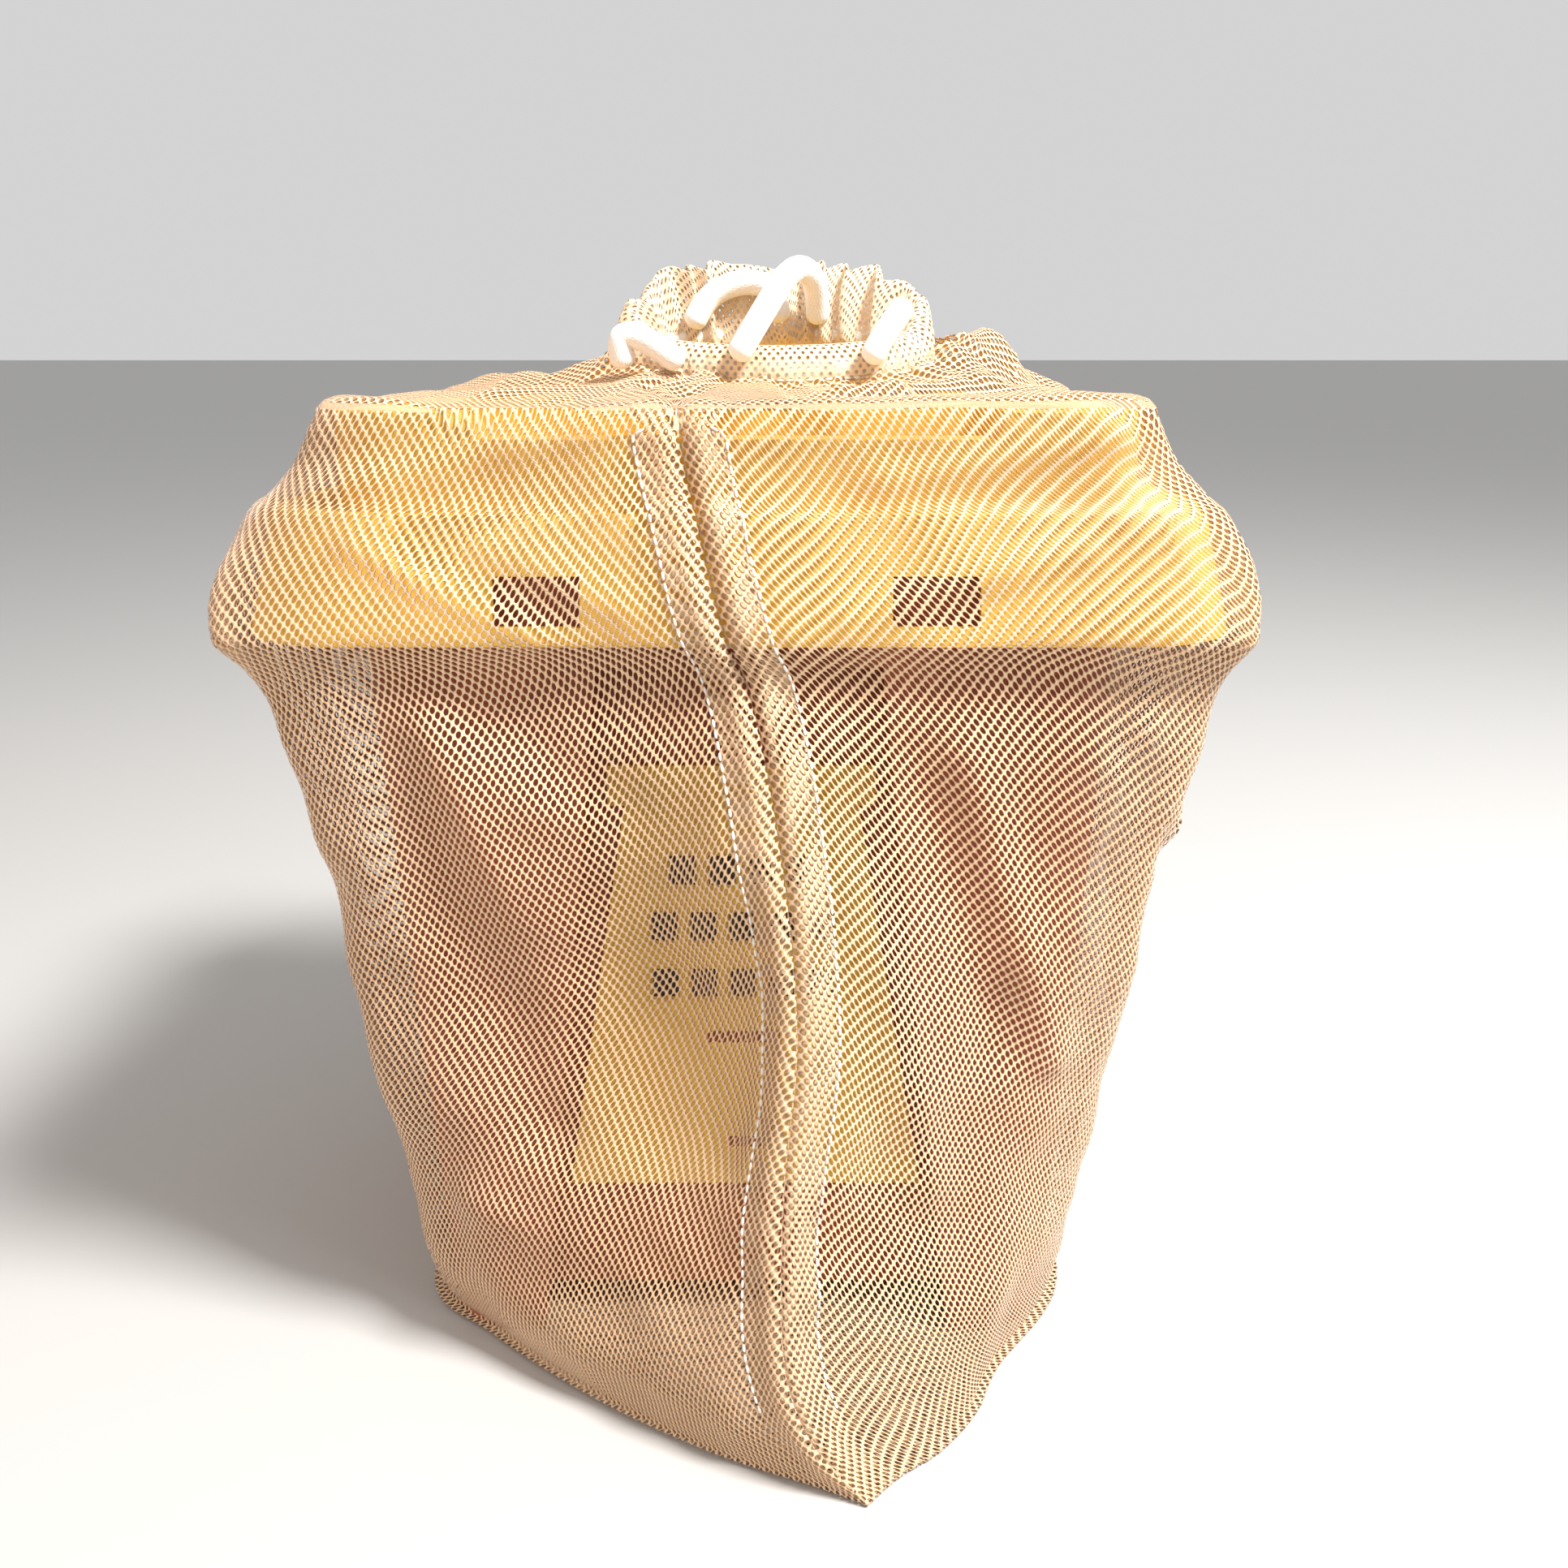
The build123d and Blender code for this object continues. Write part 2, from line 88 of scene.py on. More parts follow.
world = bpy.data.worlds.new("surroundings")
world.use_nodes = True
world.node_tree.nodes["Background"].inputs["Color"].default_value = (1.0, 1.0, 1.0, 1)
world.node_tree.nodes["Background"].inputs["Strength"].default_value = 0.55
scene.world = world


def add_lamp(name, place, target, size, power, colour):
    """Square soft lamp that faces a point."""
    lamp = bpy.data.lights.new(name, "AREA")
    lamp.size = size
    lamp.energy = power
    lamp.color = colour
    holder = bpy.data.objects.new(name, lamp)
    holder.location = place
    holder.rotation_euler = (Vector(target) - Vector(place)).to_track_quat("-Z", "Y").to_euler()
    scene.collection.objects.link(holder)


add_lamp("key_lamp", (0.80, -0.55, 1.55), (0, 0, 0.16), 0.4, 54.0, (1.0, 0.98, 0.96))
add_lamp("warm_lamp", (-1.0, -0.5, 0.35), (0, 0, 0.12), 0.5, 1.6, (1.0, 0.55, 0.25))

floor_mesh = bmesh.new()
bmesh.ops.create_grid(floor_mesh, x_segments=2, y_segments=2, size=40.0)
floor_data = bpy.data.meshes.new("floor")
floor_mesh.to_mesh(floor_data)
floor_mesh.free()
floor = bpy.data.objects.new("floor", floor_data)
floor.location.z = cad_box[0][2] - 0.0002
scene.collection.objects.link(floor)
floor_paint = bpy.data.materials.new("pale_floor")
floor_paint.use_nodes = True
floor_shader = floor_paint.node_tree.nodes["Principled BSDF"]
floor_shader.inputs["Base Color"].default_value = (0.48, 0.475, 0.465, 1)
floor_shader.inputs["Roughness"].default_value = 0.75
floor_data.materials.append(floor_paint)

# ---------------------------------------------------------------------------------------------
# The tub, its lid, the plate and the raised bars: injection-moulded plastic with a fine
# moulded grain, a little colour drift, and scuffs that lighten the surface here and there.
# ---------------------------------------------------------------------------------------------


def group_socket(group, name, kind, value=None, output=False):
    """Adds one named socket to a node group."""
    socket = group.interface.new_socket(name, in_out="OUTPUT" if output else "INPUT", socket_type=kind)
    if value is not None:
        socket.default_value = value


def make_moulded_group():
    """Node group: colour drift, roughness and grain height of moulded plastic."""
    group = bpy.data.node_groups.new("moulded_grain", "ShaderNodeTree")
    group_socket(group, "Colour", "NodeSocketColor", (0.5, 0.5, 0.5, 1))
    group_socket(group, "Scuffed colour", "NodeSocketColor", (0.8, 0.8, 0.8, 1))
    group_socket(group, "Grain size", "NodeSocketFloat", 1800.0)
    group_socket(group, "Colour", "NodeSocketColor", output=True)
    group_socket(group, "Roughness", "NodeSocketFloat", output=True)
    group_socket(group, "Height", "NodeSocketFloat", output=True)
    nodes, links = group.nodes, group.links
    given = nodes.new("NodeGroupInput")
    result = nodes.new("NodeGroupOutput")
    place = nodes.new("ShaderNodeTexCoord")
    drift = nodes.new("ShaderNodeTexNoise")
    drift.inputs["Scale"].default_value = 14.0
    drift.inputs["Detail"].default_value = 4.0
    scuff = nodes.new("ShaderNodeTexNoise")
    scuff.inputs["Scale"].default_value = 85.0
    scuff.inputs["Detail"].default_value = 6.0
    scuff.inputs["Roughness"].default_value = 0.7
    scuff_mask = nodes.new("ShaderNodeMapRange")
    scuff_mask.inputs["From Min"].default_value = 0.56
    scuff_mask.inputs["From Max"].default_value = 0.78
    scuff_mask.inputs["To Max"].default_value = 0.35
    grain = nodes.new("ShaderNodeTexVoronoi")
    for texture in (drift, scuff, grain):
        links.new(place.outputs["Object"], texture.inputs["Vector"])
    links.new(given.outputs["Grain size"], grain.inputs["Scale"])
    links.new(scuff.outputs["Fac"], scuff_mask.inputs["Value"])
    shade = nodes.new("ShaderNodeHueSaturation")
    lighter = nodes.new("ShaderNodeMapRange")
    lighter.inputs["To Min"].default_value = 0.86
    lighter.inputs["To Max"].default_value = 1.12
    links.new(drift.outputs["Fac"], lighter.inputs["Value"])
    links.new(lighter.outputs["Result"], shade.inputs["Value"])
    links.new(given.outputs["Colour"], shade.inputs["Color"])
    mix = nodes.new("ShaderNodeMix")
    mix.data_type = "RGBA"
    links.new(scuff_mask.outputs["Result"], mix.inputs["Factor"])
    links.new(shade.outputs["Color"], mix.inputs["A"])
    links.new(given.outputs["Scuffed colour"], mix.inputs["B"])
    links.new(mix.outputs["Result"], result.inputs["Colour"])
    rough = nodes.new("ShaderNodeMapRange")
    rough.inputs["To Min"].default_value = 0.34
    rough.inputs["To Max"].default_value = 0.6
    links.new(scuff.outputs["Fac"], rough.inputs["Value"])
    links.new(rough.outputs["Result"], result.inputs["Roughness"])
    links.new(grain.outputs["Distance"], result.inputs["Height"])
    return group


moulded_group = make_moulded_group()


def add_bump(tree, height, strength, distance):
    """Bump from a height socket into the material's shader."""
    bump = tree.nodes.new("ShaderNodeBump")
    bump.inputs["Strength"].default_value = strength
    bump.inputs["Distance"].default_value = distance
    tree.links.new(height, bump.inputs["Height"])
    tree.links.new(bump.outputs["Normal"], tree.nodes["Principled BSDF"].inputs["Normal"])


def mix_base_colour(tree, factor, first, second):
    """Mix of two colours as the material's base colour."""
    mix = tree.nodes.new("ShaderNodeMix")
    mix.data_type = "RGBA"
    mix.inputs["A"].default_value = (*first, 1)
    mix.inputs["B"].default_value = (*second, 1)
    tree.links.new(factor, mix.inputs["Factor"])
    tree.links.new(mix.outputs["Result"], tree.nodes["Principled BSDF"].inputs["Base Color"])


def make_plastic(name, colour, scuffed, grain_size):
    """Moulded plastic in one colour."""
    material = bpy.data.materials.new(name)
    material.use_nodes = True
    nodes, links = material.node_tree.nodes, material.node_tree.links
    shader = nodes["Principled BSDF"]
    shader.inputs["IOR"].default_value = 1.46
    grain = nodes.new("ShaderNodeGroup")
    grain.node_tree = moulded_group
    grain.inputs["Colour"].default_value = (*colour, 1)
    grain.inputs["Scuffed colour"].default_value = (*scuffed, 1)
    grain.inputs["Grain size"].default_value = grain_size
    links.new(grain.outputs["Colour"], shader.inputs["Base Color"])
    links.new(grain.outputs["Roughness"], shader.inputs["Roughness"])
    add_bump(material.node_tree, grain.outputs["Height"], 0.12, 0.0003)
    return material


terracotta = make_plastic("terracotta_plastic", (0.36, 0.09, 0.045), (0.50, 0.20, 0.12), 1500.0)
yellow = make_plastic("yellow_plastic", (0.94, 0.62, 0.11), (0.95, 0.74, 0.30), 1900.0)
ink = make_plastic("inked_plastic", (0.035, 0.028, 0.024), (0.10, 0.08, 0.07), 2400.0)
for node, material in (
        ("tub_body", terracotta), ("tub_lid", yellow), ("front_plate", yellow), ("plate_bars", ink)):
    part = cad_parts[node]
    part.data.materials.clear()
    part.data.materials.append(material)

# ---------------------------------------------------------------------------------------------
# The two panels: one piece of warp-knitted polyester mesh each, sewn together along the front,
# the bottom and the back. The cloth hugs the lid, falls free below it and stands out in a keel
# along the seam down to the soft corner that rests on the floor.
# ---------------------------------------------------------------------------------------------
COLUMNS = 180          # grid squares round one panel
ROWS = 215             # grid squares from the bottom seam to the mouth
SEAM_CROWDING = 0.72   # the grid is finer beside the seams
CURVE_TENSION = 0.5    # of the smooth curves between key points
CURVE_STEPS = 12       # samples between two key points
GATHERS = 13           # shallow gathers of one panel under the hem
LEFT_KNIT_LEAN = math.radians(-14)
RIGHT_KNIT_LEAN = math.radians(5)

# in metres
PANEL_WIDTH = 0.45     # flat cut of one panel between its two seams
CLOTH_THICK = 0.00038  # the knit's two faces are this far apart
ALLOWANCE_WIDTH = 0.014
STITCH_PLACE = 0.0136  # the topstitch runs this far from the seam
SEAM_SOFTENING = 0.010  # beside a seam the cloth is held still over this width
CROWN_REACH = (0.1115, 0.0975, 0.289)   # half sizes and lowest height of the cloth on the crown
SKIRT_HEIGHT = 0.034   # the lid's steep skirt, its lean and its corner radius
SKIRT_LEAN = 0.008
SKIRT_RADIUS = 0.034
SKIRT_GAP = 0.0010     # the cloth stands this far off it

# in millimetres, as are the tables of rows, folds and routes
lid_low, lid_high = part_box("tub_lid")
lid_half_width = lid_high.x / MM
lid_half_depth = lid_high.y / MM
lid_edge = lid_low.z / MM
crown_top = lid_high.z / MM
ear_reach = -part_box("right_panel")[0].y / MM
mouth_x, mouth_y = 10.0, 7.0
CORNER_TIP = 5.0       # the bottom seam ends this far inside the bag's corners
SEAM_TOP_X = -16.0     # sideways place of the front seam on top of the load
FLOOR_SEAM_X = 36.5    # sideways place of the bag's front corner on the floor
SEAM_ANGLE = math.acos((SEAM_TOP_X - mouth_x) / 50.0)   # where the front seam meets the mouth
RING_HALF_WIDTH = 47.0  # the drawstring's oval inside the hem
RING_HALF_DEPTH = 17.5
RING_STAND = 8.5       # its height over the lid's crown at the front
RING_RISE = 12.5       # how much higher it runs at the back

# height, half width, half depth, corner cut, sideways place of the seam, reach of the seam, how
# far the cloth between seam and corner sinks in, left and right of the seam, and how far the
# right-hand corner stands forward
WALL_ROWS = (
    (0.4, 102, 92, 24, FLOOR_SEAM_X, ear_reach - 0.6, -6, -5, 15),
    (3.0, 104, 95, 26, 34.5, ear_reach - 0.5, -6, -5, 15),
    (9.0, 106, 98, 27, 28, ear_reach - 2, -5, -5, 13),
    (20, 108, 99, 25, 19.5, ear_reach - 4, -4, -4, 11),
    (38, 109.5, 100, 22, 13.2, 156, 0, -3, 8),
    (62, 111.5, 101, 20, 11.8, 150.3, 6, -1, 4),
    (92, 114.5, 102.5, 18, 12.7, 143.8, 17, 1, 1),
    (128, 118.5, 104, 17, 16.2, 135.7, 23, 2, 0),
    (162, 123, 105.5, 17, 14.4, 128, 14, 3, 0),
    (192, 128.5, 106.5, 17, 10.2, 120.5, 6, 3, 0),
    (214, 134, 106.5, 18, 6, 115, 4, 2.5, 0),
    (226, 138.4, 106.8, 16, 2.5, 112.0, 2, 2, 0),
    (lid_edge - 1.0, lid_half_width + 2.2, lid_half_depth + 0.8, 13, -1.2, 113.3, 0, 0, 0),
    (lid_edge + 2.5, lid_half_width + 3.2, lid_half_depth + 1.8, 13, -2.6, 113.4, 0, 0, 0),
    (lid_edge + 14, lid_half_width + 3.2, lid_half_depth - 0.6, 13, -5.8, 111.2, 0, 0, 0),
    (lid_edge + 27, lid_half_width - 2, lid_half_depth - 4.0, 15, -8.8, 108, 0, 0, 0),
    (lid_edge + 34.5, lid_half_width - 5.8, lid_half_depth - 6.0, 17, -10.4, 106, 0, 0, 0),
    (lid_edge + 37.5, lid_half_width - 10, lid_half_depth - 8, 17, -11.4, 104, 0, 0, 0),
    (lid_edge + 47, lid_half_width - 20, lid_half_depth - 10.6, 15, -13.6, 101, 0, 0, 0),
    (crown_top - 2.5, 113.2, 98.9, 13, -15.3, 98.8, 0, 0, 0),
    (crown_top + 2.0, 110.5, 96.5, 13, SEAM_TOP_X, 94, 0, 0, 0),
    (crown_top + 3.2, 99, 84, 12, -16.6, 81, 0, 0, 0),
)
MOUTH_ROWS = (
    # half width, half depth, height at the front, rise to the back
    (77, 55, crown_top + 4.0, 1.5),
    (65, 38, crown_top + 5.0, 4.0),
    (57, 28, crown_top + 6.0, 9.0),
    (53.2, 24, crown_top + 8.0, 12.0),
)
KEY_SHARES = (0, 0.055, 0.11, 0.2, 0.3, 0.4, 0.5, 0.6, 0.7, 0.8, 0.89, 0.945, 1)


def front_keys(side, row):
    """Seven points from the front seam round the front corner to the middle of one side."""
    z, half_width, half_depth, cut, seam_x, reach, sink_left, sink_right, forward = row
    sink = sink_left if side < 0 else sink_right
    forward = 0 if side < 0 else forward
    middle_share = 0.45 if sink > 0 else 1.0
    corner = np.array([side * (half_width - cut), -half_depth - forward])
    seam = np.array([seam_x, -reach])
    run = corner - seam
    length = np.linalg.norm(run)
    along = run / length
    inward = np.array([side * along[1], -side * along[0]])
    inward = inward if inward[1] > 0 else -inward
    flat = [
        seam,
        seam + along * 14.0 + inward * sink * 0.25,
        seam + along * (14.0 + 0.27 * (length - 14)) + inward * sink,
        seam + along * (14.0 + 0.62 * (length - 14)) + inward * sink * middle_share,
        corner,
        np.array([side * half_width, -half_depth + cut * 1.1]),
        np.array([side * half_width, 0.0]),
    ]
    return [(x, y, z) for x, y in flat]


def wall_keys(side, row):
    """Key points round one panel: the back half is the other side's front, turned half round."""
    front = front_keys(side, row)
    calmer = (*row[:6], row[7] * 0.5, row[6] * 0.5, row[8])
    other = front_keys(-side, calmer)
    return front + [(-x, -y, z) for x, y, z in reversed(other[:-1])]


def mouth_keys(side, half_width, half_depth, z_front, rise):
    """Key points round one half of the mouth's oval."""
    keys = []
    for share in KEY_SHARES:
        angle = -SEAM_ANGLE + side * math.pi * share
        keys.append((
            mouth_x + half_width * math.cos(angle),
            mouth_y + half_depth * math.sin(angle),
            z_front + rise * (1 + math.sin(angle)) / 2))
    return keys


def smooth_through(points, count):
    """Evenly spaced points on a smooth curve through the given ones, along the first axis."""
    padded = np.concatenate([2 * points[:1] - points[1:2], points, 2 * points[-1:] - points[-2:-1]])
    samples = []
    for i in range(1, len(padded) - 2):
        before, here, there, after = padded[i - 1], padded[i], padded[i + 1], padded[i + 2]
        for k in range(CURVE_STEPS):
            t = k / CURVE_STEPS
            leave = (there - before) * CURVE_TENSION
            reach = (after - here) * CURVE_TENSION
            samples.append(
                (2 * t**3 - 3 * t**2 + 1) * here + (t**3 - 2 * t**2 + t) * leave
                + (3 * t**2 - 2 * t**3) * there + (t**3 - t**2) * reach)
    samples.append(padded[-2])
    samples = np.array(samples)
    step = np.linalg.norm(np.diff(samples, axis=0), axis=-1)
    step = step if step.ndim == 1 else step.mean(axis=1)
    place = np.concatenate([[0], np.cumsum(step)])
    wanted = np.linspace(0, place[-1], count)
    shape = samples.reshape(len(samples), -1)
    even = np.stack([np.interp(wanted, place, shape[:, k]) for k in range(shape.shape[1])], axis=1)
    return even.reshape(count, *samples.shape[1:])


def panel_surface(side):
    """Grid of points (row, column, xyz) in metres from the bottom seam up to the mouth."""
    rows = [wall_keys(side, row) for row in WALL_ROWS]
    shrink = (ear_reach - CORNER_TIP) / ear_reach
    floor_seam = [(-y / ear_reach * FLOOR_SEAM_X * shrink, y * shrink, 0.4) for _, y, _ in rows[0]]
    rows.insert(0, floor_seam)
    rows += [mouth_keys(side, *row) for row in MOUTH_ROWS]
    keys = np.array(rows, float)
    upward = smooth_through(keys, ROWS + 1)
    even = np.linspace(0, 1, COLUMNS + 1)
    crowded = even - SEAM_CROWDING * np.sin(2 * math.pi * even) / (2 * math.pi)
    fine = 4 * COLUMNS
    grid = np.zeros((ROWS + 1, COLUMNS + 1, 3))
    for i, row in enumerate(upward):
        line = smooth_through(row, fine + 1)
        for k in range(3):
            grid[i, :, k] = np.interp(crowded * fine, np.arange(fine + 1), line[:, k])
    return grid * MM


def surface_normals(grid, side):
    """Outward direction at each grid point."""
    along = np.gradient(grid, axis=1)
    up = np.gradient(grid, axis=0)
    normal = np.cross(along, up) * side
    length = np.linalg.norm(normal, axis=2, keepdims=True)
    return normal / np.maximum(length, 1e-12)


# Folds of the cloth: two ends (x, y, z), how far it stands out or sinks in, and its width, in mm
FOLDS = (
    ((-6, -134, 158), (-14, -132, 100), -9.0, 13),
    ((-26, -126, 172), (-22, -128, 140), 3.4, 4.5),
    ((-36, -124, 152), (-32, -128, 116), -2.6, 6),
    ((6, -142, 118), (-24, -136, 74), 4.2, 5.5),
    ((-8, -142, 100), (-42, -130, 62), -3.0, 7),
    ((49, -115, 206), (75, -116, 118), -3.4, 8),
    ((64, -112, 205), (92, -108, 112), 3.0, 6.5),
    ((36, -125, 170), (58, -130, 80), 2.8, 8),
    ((20, -152, 60), (88, -118, 56), 3.4, 3.6),
    ((20, -156, 50), (84, -122, 46), -2.8, 3.8),
    ((30, -152, 40), (80, -124, 36), 2.0, 4.0),
    ((-88, -108, 60), (-30, -140, 54), 3.0, 7),
    ((-98, -104, 205), (-60, -116, 90), -4.0, 12),
    ((-84, -106, 210), (-44, -122, 86), 2.4, 7),
    ((-70, -108, 216), (-20, -118, 180), -2.6, 10),
    ((-100, -106, 226), (30, -112, 220), -2.4, 11),
    ((30, -112, 222), (110, -104, 224), -1.6, 9),
    ((112, -104, 214), (126, -92, 176), 3.4, 3.2),
    ((106, -106, 206), (120, -94, 170), -2.0, 4),
    ((-112, -100, 275), (-28, -100, 294), 2.0, 5),
    ((-100, -108, 262), (-55, -111, 240), 2.8, 5),
    ((-66, -110, 262), (-30, -111, 246), 2.0, 6),
    ((30, -110, 244), (92, -108, 262), 1.8, 5),
    ((40, -100, 278), (100, -100, 290), 1.8, 5),
    ((-138, -70, 262), (-142, -20, 252), 2.6, 8),
    ((24, -74, 300), (84, -22, 304), -4.0, 7),
    ((30, -56, 302), (90, -4, 306), 4.5, 6),
    ((-70, -66, 300), (-30, -24, 304), 2.6, 5),
    ((-52, -80, 300), (-26, -30, 304), -2.0, 4),
    ((-16, -98, 298), (-16, -40, 303), -4.0, 6),
    ((64, 4, 308), (80, 20, 304), 12.0, 14),
    ((80, 20, 304), (96, 36, 299), 7.0, 13),
    ((84, -8, 303), (102, 26, 300), -3.0, 5),
    ((-60, 20, 306), (-96, 60, 299), 3.0, 8),
    ((-44, 8, 306), (-80, 14, 300), 3.0, 6),
    ((-46, -2, 305), (-90, -8, 300), -2.0, 6),
    ((20, 50, 306), (30, 90, 299), 2.6, 7),
    ((-20, 40, 306), (-60, 84, 299), 2.4, 7),
    ((-40, 118, 190), (-76, 106, 110), -3.0, 12),
    ((30, 116, 200), (58, 112, 120), 2.4, 9),
    ((-6, 140, 120), (24, 134, 76), -3.2, 12),
    ((128, -40, 190), (116, 20, 90), 2.6, 10),
    ((130, 40, 200), (118, 0, 110), -2.4, 9),
    ((-128, 50, 200), (-116, -10, 90), 2.6, 10),
    ((-130, -40, 205), (-118, 20, 120), -2.4, 9),
)


def fold_depth(points):
    """How far each point is moved out by the folds near it, in metres."""
    moved = np.zeros(points.shape[:2])
    for start, end, height, width in FOLDS:
        a, b = np.array(start) * MM, np.array(end) * MM
        run = b - a
        share = np.clip(((points - a) @ run) / (run @ run), 0, 1)
        away = np.linalg.norm(points - (a + share[..., None] * run), axis=2)
        moved += height * MM * np.exp(-(away / (width * MM)) ** 2)
    return moved


def ripple(points, scale, depth, seed):
    """Slight unevenness of hanging cloth."""
    flat = points.reshape(-1, 3) * scale
    values = [noise.noise(Vector((x + seed, y, z))) for x, y, z in flat]
    return np.array(values).reshape(points.shape[:2]) * depth


def lengths_along(grid, axis):
    """Distance from the grid's first line, along the cloth."""
    step = np.linalg.norm(np.diff(grid, axis=axis), axis=2)
    zero = np.zeros_like(step.take([0], axis=axis))
    return np.concatenate([zero, np.cumsum(step, axis=axis)], axis=axis)


smooth_grids = {side: panel_surface(side) for side in (-1, 1)}


def shaped_panel(side):
    """The panel's surface with its folds, its gathers at the mouth and the groove of its seams."""
    grid = smooth_grids[side]
    normals = surface_normals(grid, side)
    along = lengths_along(grid, 1)
    from_seam = np.minimum(along, along[:, -1:] - along)
    height = grid[..., 2]
    off_floor = np.clip((height - 0.002) / 0.012, 0, 1)
    seam_hold = np.clip(from_seam / SEAM_SOFTENING, 0, 1)
    moved = fold_depth(grid) * off_floor * (0.25 + 0.75 * seam_hold)
    moved += ripple(grid, 22, 0.0030, 3.1) * off_floor * seam_hold
    moved += ripple(grid, 60, 0.0012, 7.7) * off_floor * seam_hold
    rows = np.linspace(0, 1, ROWS + 1)[:, None]
    near_mouth = np.clip((rows - 0.88) / 0.12, 0, 1) ** 1.6
    shares = along / along[:, -1:]
    wander = np.array([noise.noise(Vector((share * 9 + side * 5, 0.3, 2.0))) for share in shares[0]])
    gather = np.sin(2 * math.pi * (shares * GATHERS + wander[None, :] * 0.9))
    moved += near_mouth * gather * 0.0009 * seam_hold
    # the seam sinks in, the doubled cloth beside it bulges, and the topstitch pulls it in again
    groove = np.exp(-(from_seam / 0.0013) ** 2)
    stitch_line = np.exp(-((from_seam - STITCH_PLACE) / 0.0014) ** 2)
    moved -= (0.0020 * groove + 0.0005 * stitch_line) * off_floor
    moved += 0.0014 * np.exp(-((from_seam - 0.0050) / 0.0035) ** 2) * off_floor
    shaped = grid + normals * moved[..., None]
    shaped[..., 2] = np.maximum(shaped[..., 2], 0.0003)
    x, y, z = shaped[..., 0], shaped[..., 1], shaped[..., 2]
    over_crown = (np.abs(x) < CROWN_REACH[0]) & (np.abs(y) < CROWN_REACH[1]) & (z > CROWN_REACH[2])
    shaped[..., 2] = np.where(over_crown, np.maximum(z, crown_top * MM + 0.0012), z)
    # both panels share the sewn edges
    shaped[:, 0, 0] = grid[:, 0, 0]
    shaped[:, -1, 0] = grid[:, -1, 0]
    return shaped


def keep_off_load(grid):
    """Stops the cloth just outside the lid's skirt, where it lies on it."""
    x, y, z = grid[..., 0], grid[..., 1], grid[..., 2]
    skirt = (z > lid_edge * MM) & (z < lid_edge * MM + SKIRT_HEIGHT + 0.0005)
    lean = SKIRT_LEAN * np.clip((z - lid_edge * MM) / SKIRT_HEIGHT, 0, 1)
    half_width = lid_half_width * MM + SKIRT_GAP - lean
    half_depth = lid_half_depth * MM + SKIRT_GAP - lean
    over_x = np.abs(x) - (half_width - SKIRT_RADIUS)
    over_y = np.abs(y) - (half_depth - SKIRT_RADIUS)
    corner = np.hypot(np.maximum(over_x, 0), np.maximum(over_y, 0)) + np.minimum(
        np.maximum(over_x, over_y), 0) - SKIRT_RADIUS
    push = np.where(skirt & (corner < 0) & (corner > -0.012), -corner, 0)
    size = np.maximum(np.hypot(np.maximum(over_x, 0), np.maximum(over_y, 0)), 1e-6)
    out_x = np.where(over_x > 0, np.maximum(over_x, 0) / size, 0) * np.sign(x)
    out_y = np.where(over_y > 0, np.maximum(over_y, 0) / size, 0) * np.sign(y)
    grid[..., 0] += out_x * push
    grid[..., 1] += out_y * push
    return grid


def object_from(name, shape, material):
    """Object in the scene made from a finished bmesh."""
    data = bpy.data.meshes.new(name)
    shape.to_mesh(data)
    shape.free()
    piece = bpy.data.objects.new(name, data)
    scene.collection.objects.link(piece)
    data.materials.append(material)
    return piece


def grid_object(name, layers, cloth_places, material, flip):
    """Cloth of one or two layers; its UV map holds the place on the flat cloth, in metres."""
    rows, columns = layers[0].shape[0] - 1, layers[0].shape[1] - 1
    sheet = bmesh.new()
    places = sheet.loops.layers.uv.new("cloth")
    number = {}
    verts = []
    for points in layers:
        made = bmesh.ops.create_grid(sheet, x_segments=columns, y_segments=rows, size=0.5)["verts"]
        order = sorted(made, key=lambda v: (
            round((v.co.y + 0.5) * rows), round((v.co.x + 0.5) * columns)))
        verts.append(order)
        for k, vert in enumerate(order):
            number[vert] = divmod(k, columns + 1)
            vert.co = points[number[vert]]
    if len(layers) == 2:
        rim = [(0, j) for j in range(columns)] + [(i, columns) for i in range(rows)]
        rim += [(rows, j) for j in range(columns, 0, -1)] + [(i, 0) for i in range(rows, 0, -1)]
        spots = [i * (columns + 1) + j for i, j in rim]
        for here, there in zip(spots, spots[1:] + spots[:1]):
            sheet.faces.new((verts[0][here], verts[0][there], verts[1][there], verts[1][here]))
        bmesh.ops.recalc_face_normals(sheet, faces=sheet.faces[:])
    elif flip:
        bmesh.ops.reverse_faces(sheet, faces=sheet.faces[:])
    for face in sheet.faces:
        face.smooth = True
        for loop in face.loops:
            loop[places].uv = cloth_places[number[loop.vert]]
    return object_from(name, sheet, material)


def math_node(tree, kind, first, second=None, third=None):
    """One Math node; its inputs are sockets or numbers."""
    node = tree.nodes.new("ShaderNodeMath")
    node.operation = kind
    for slot, value in enumerate((first, second, third)):
        if value is None:
            continue
        if isinstance(value, (int, float)):
            node.inputs[slot].default_value = value
        else:
            tree.links.new(value, node.inputs[slot])
    return node.outputs[0]


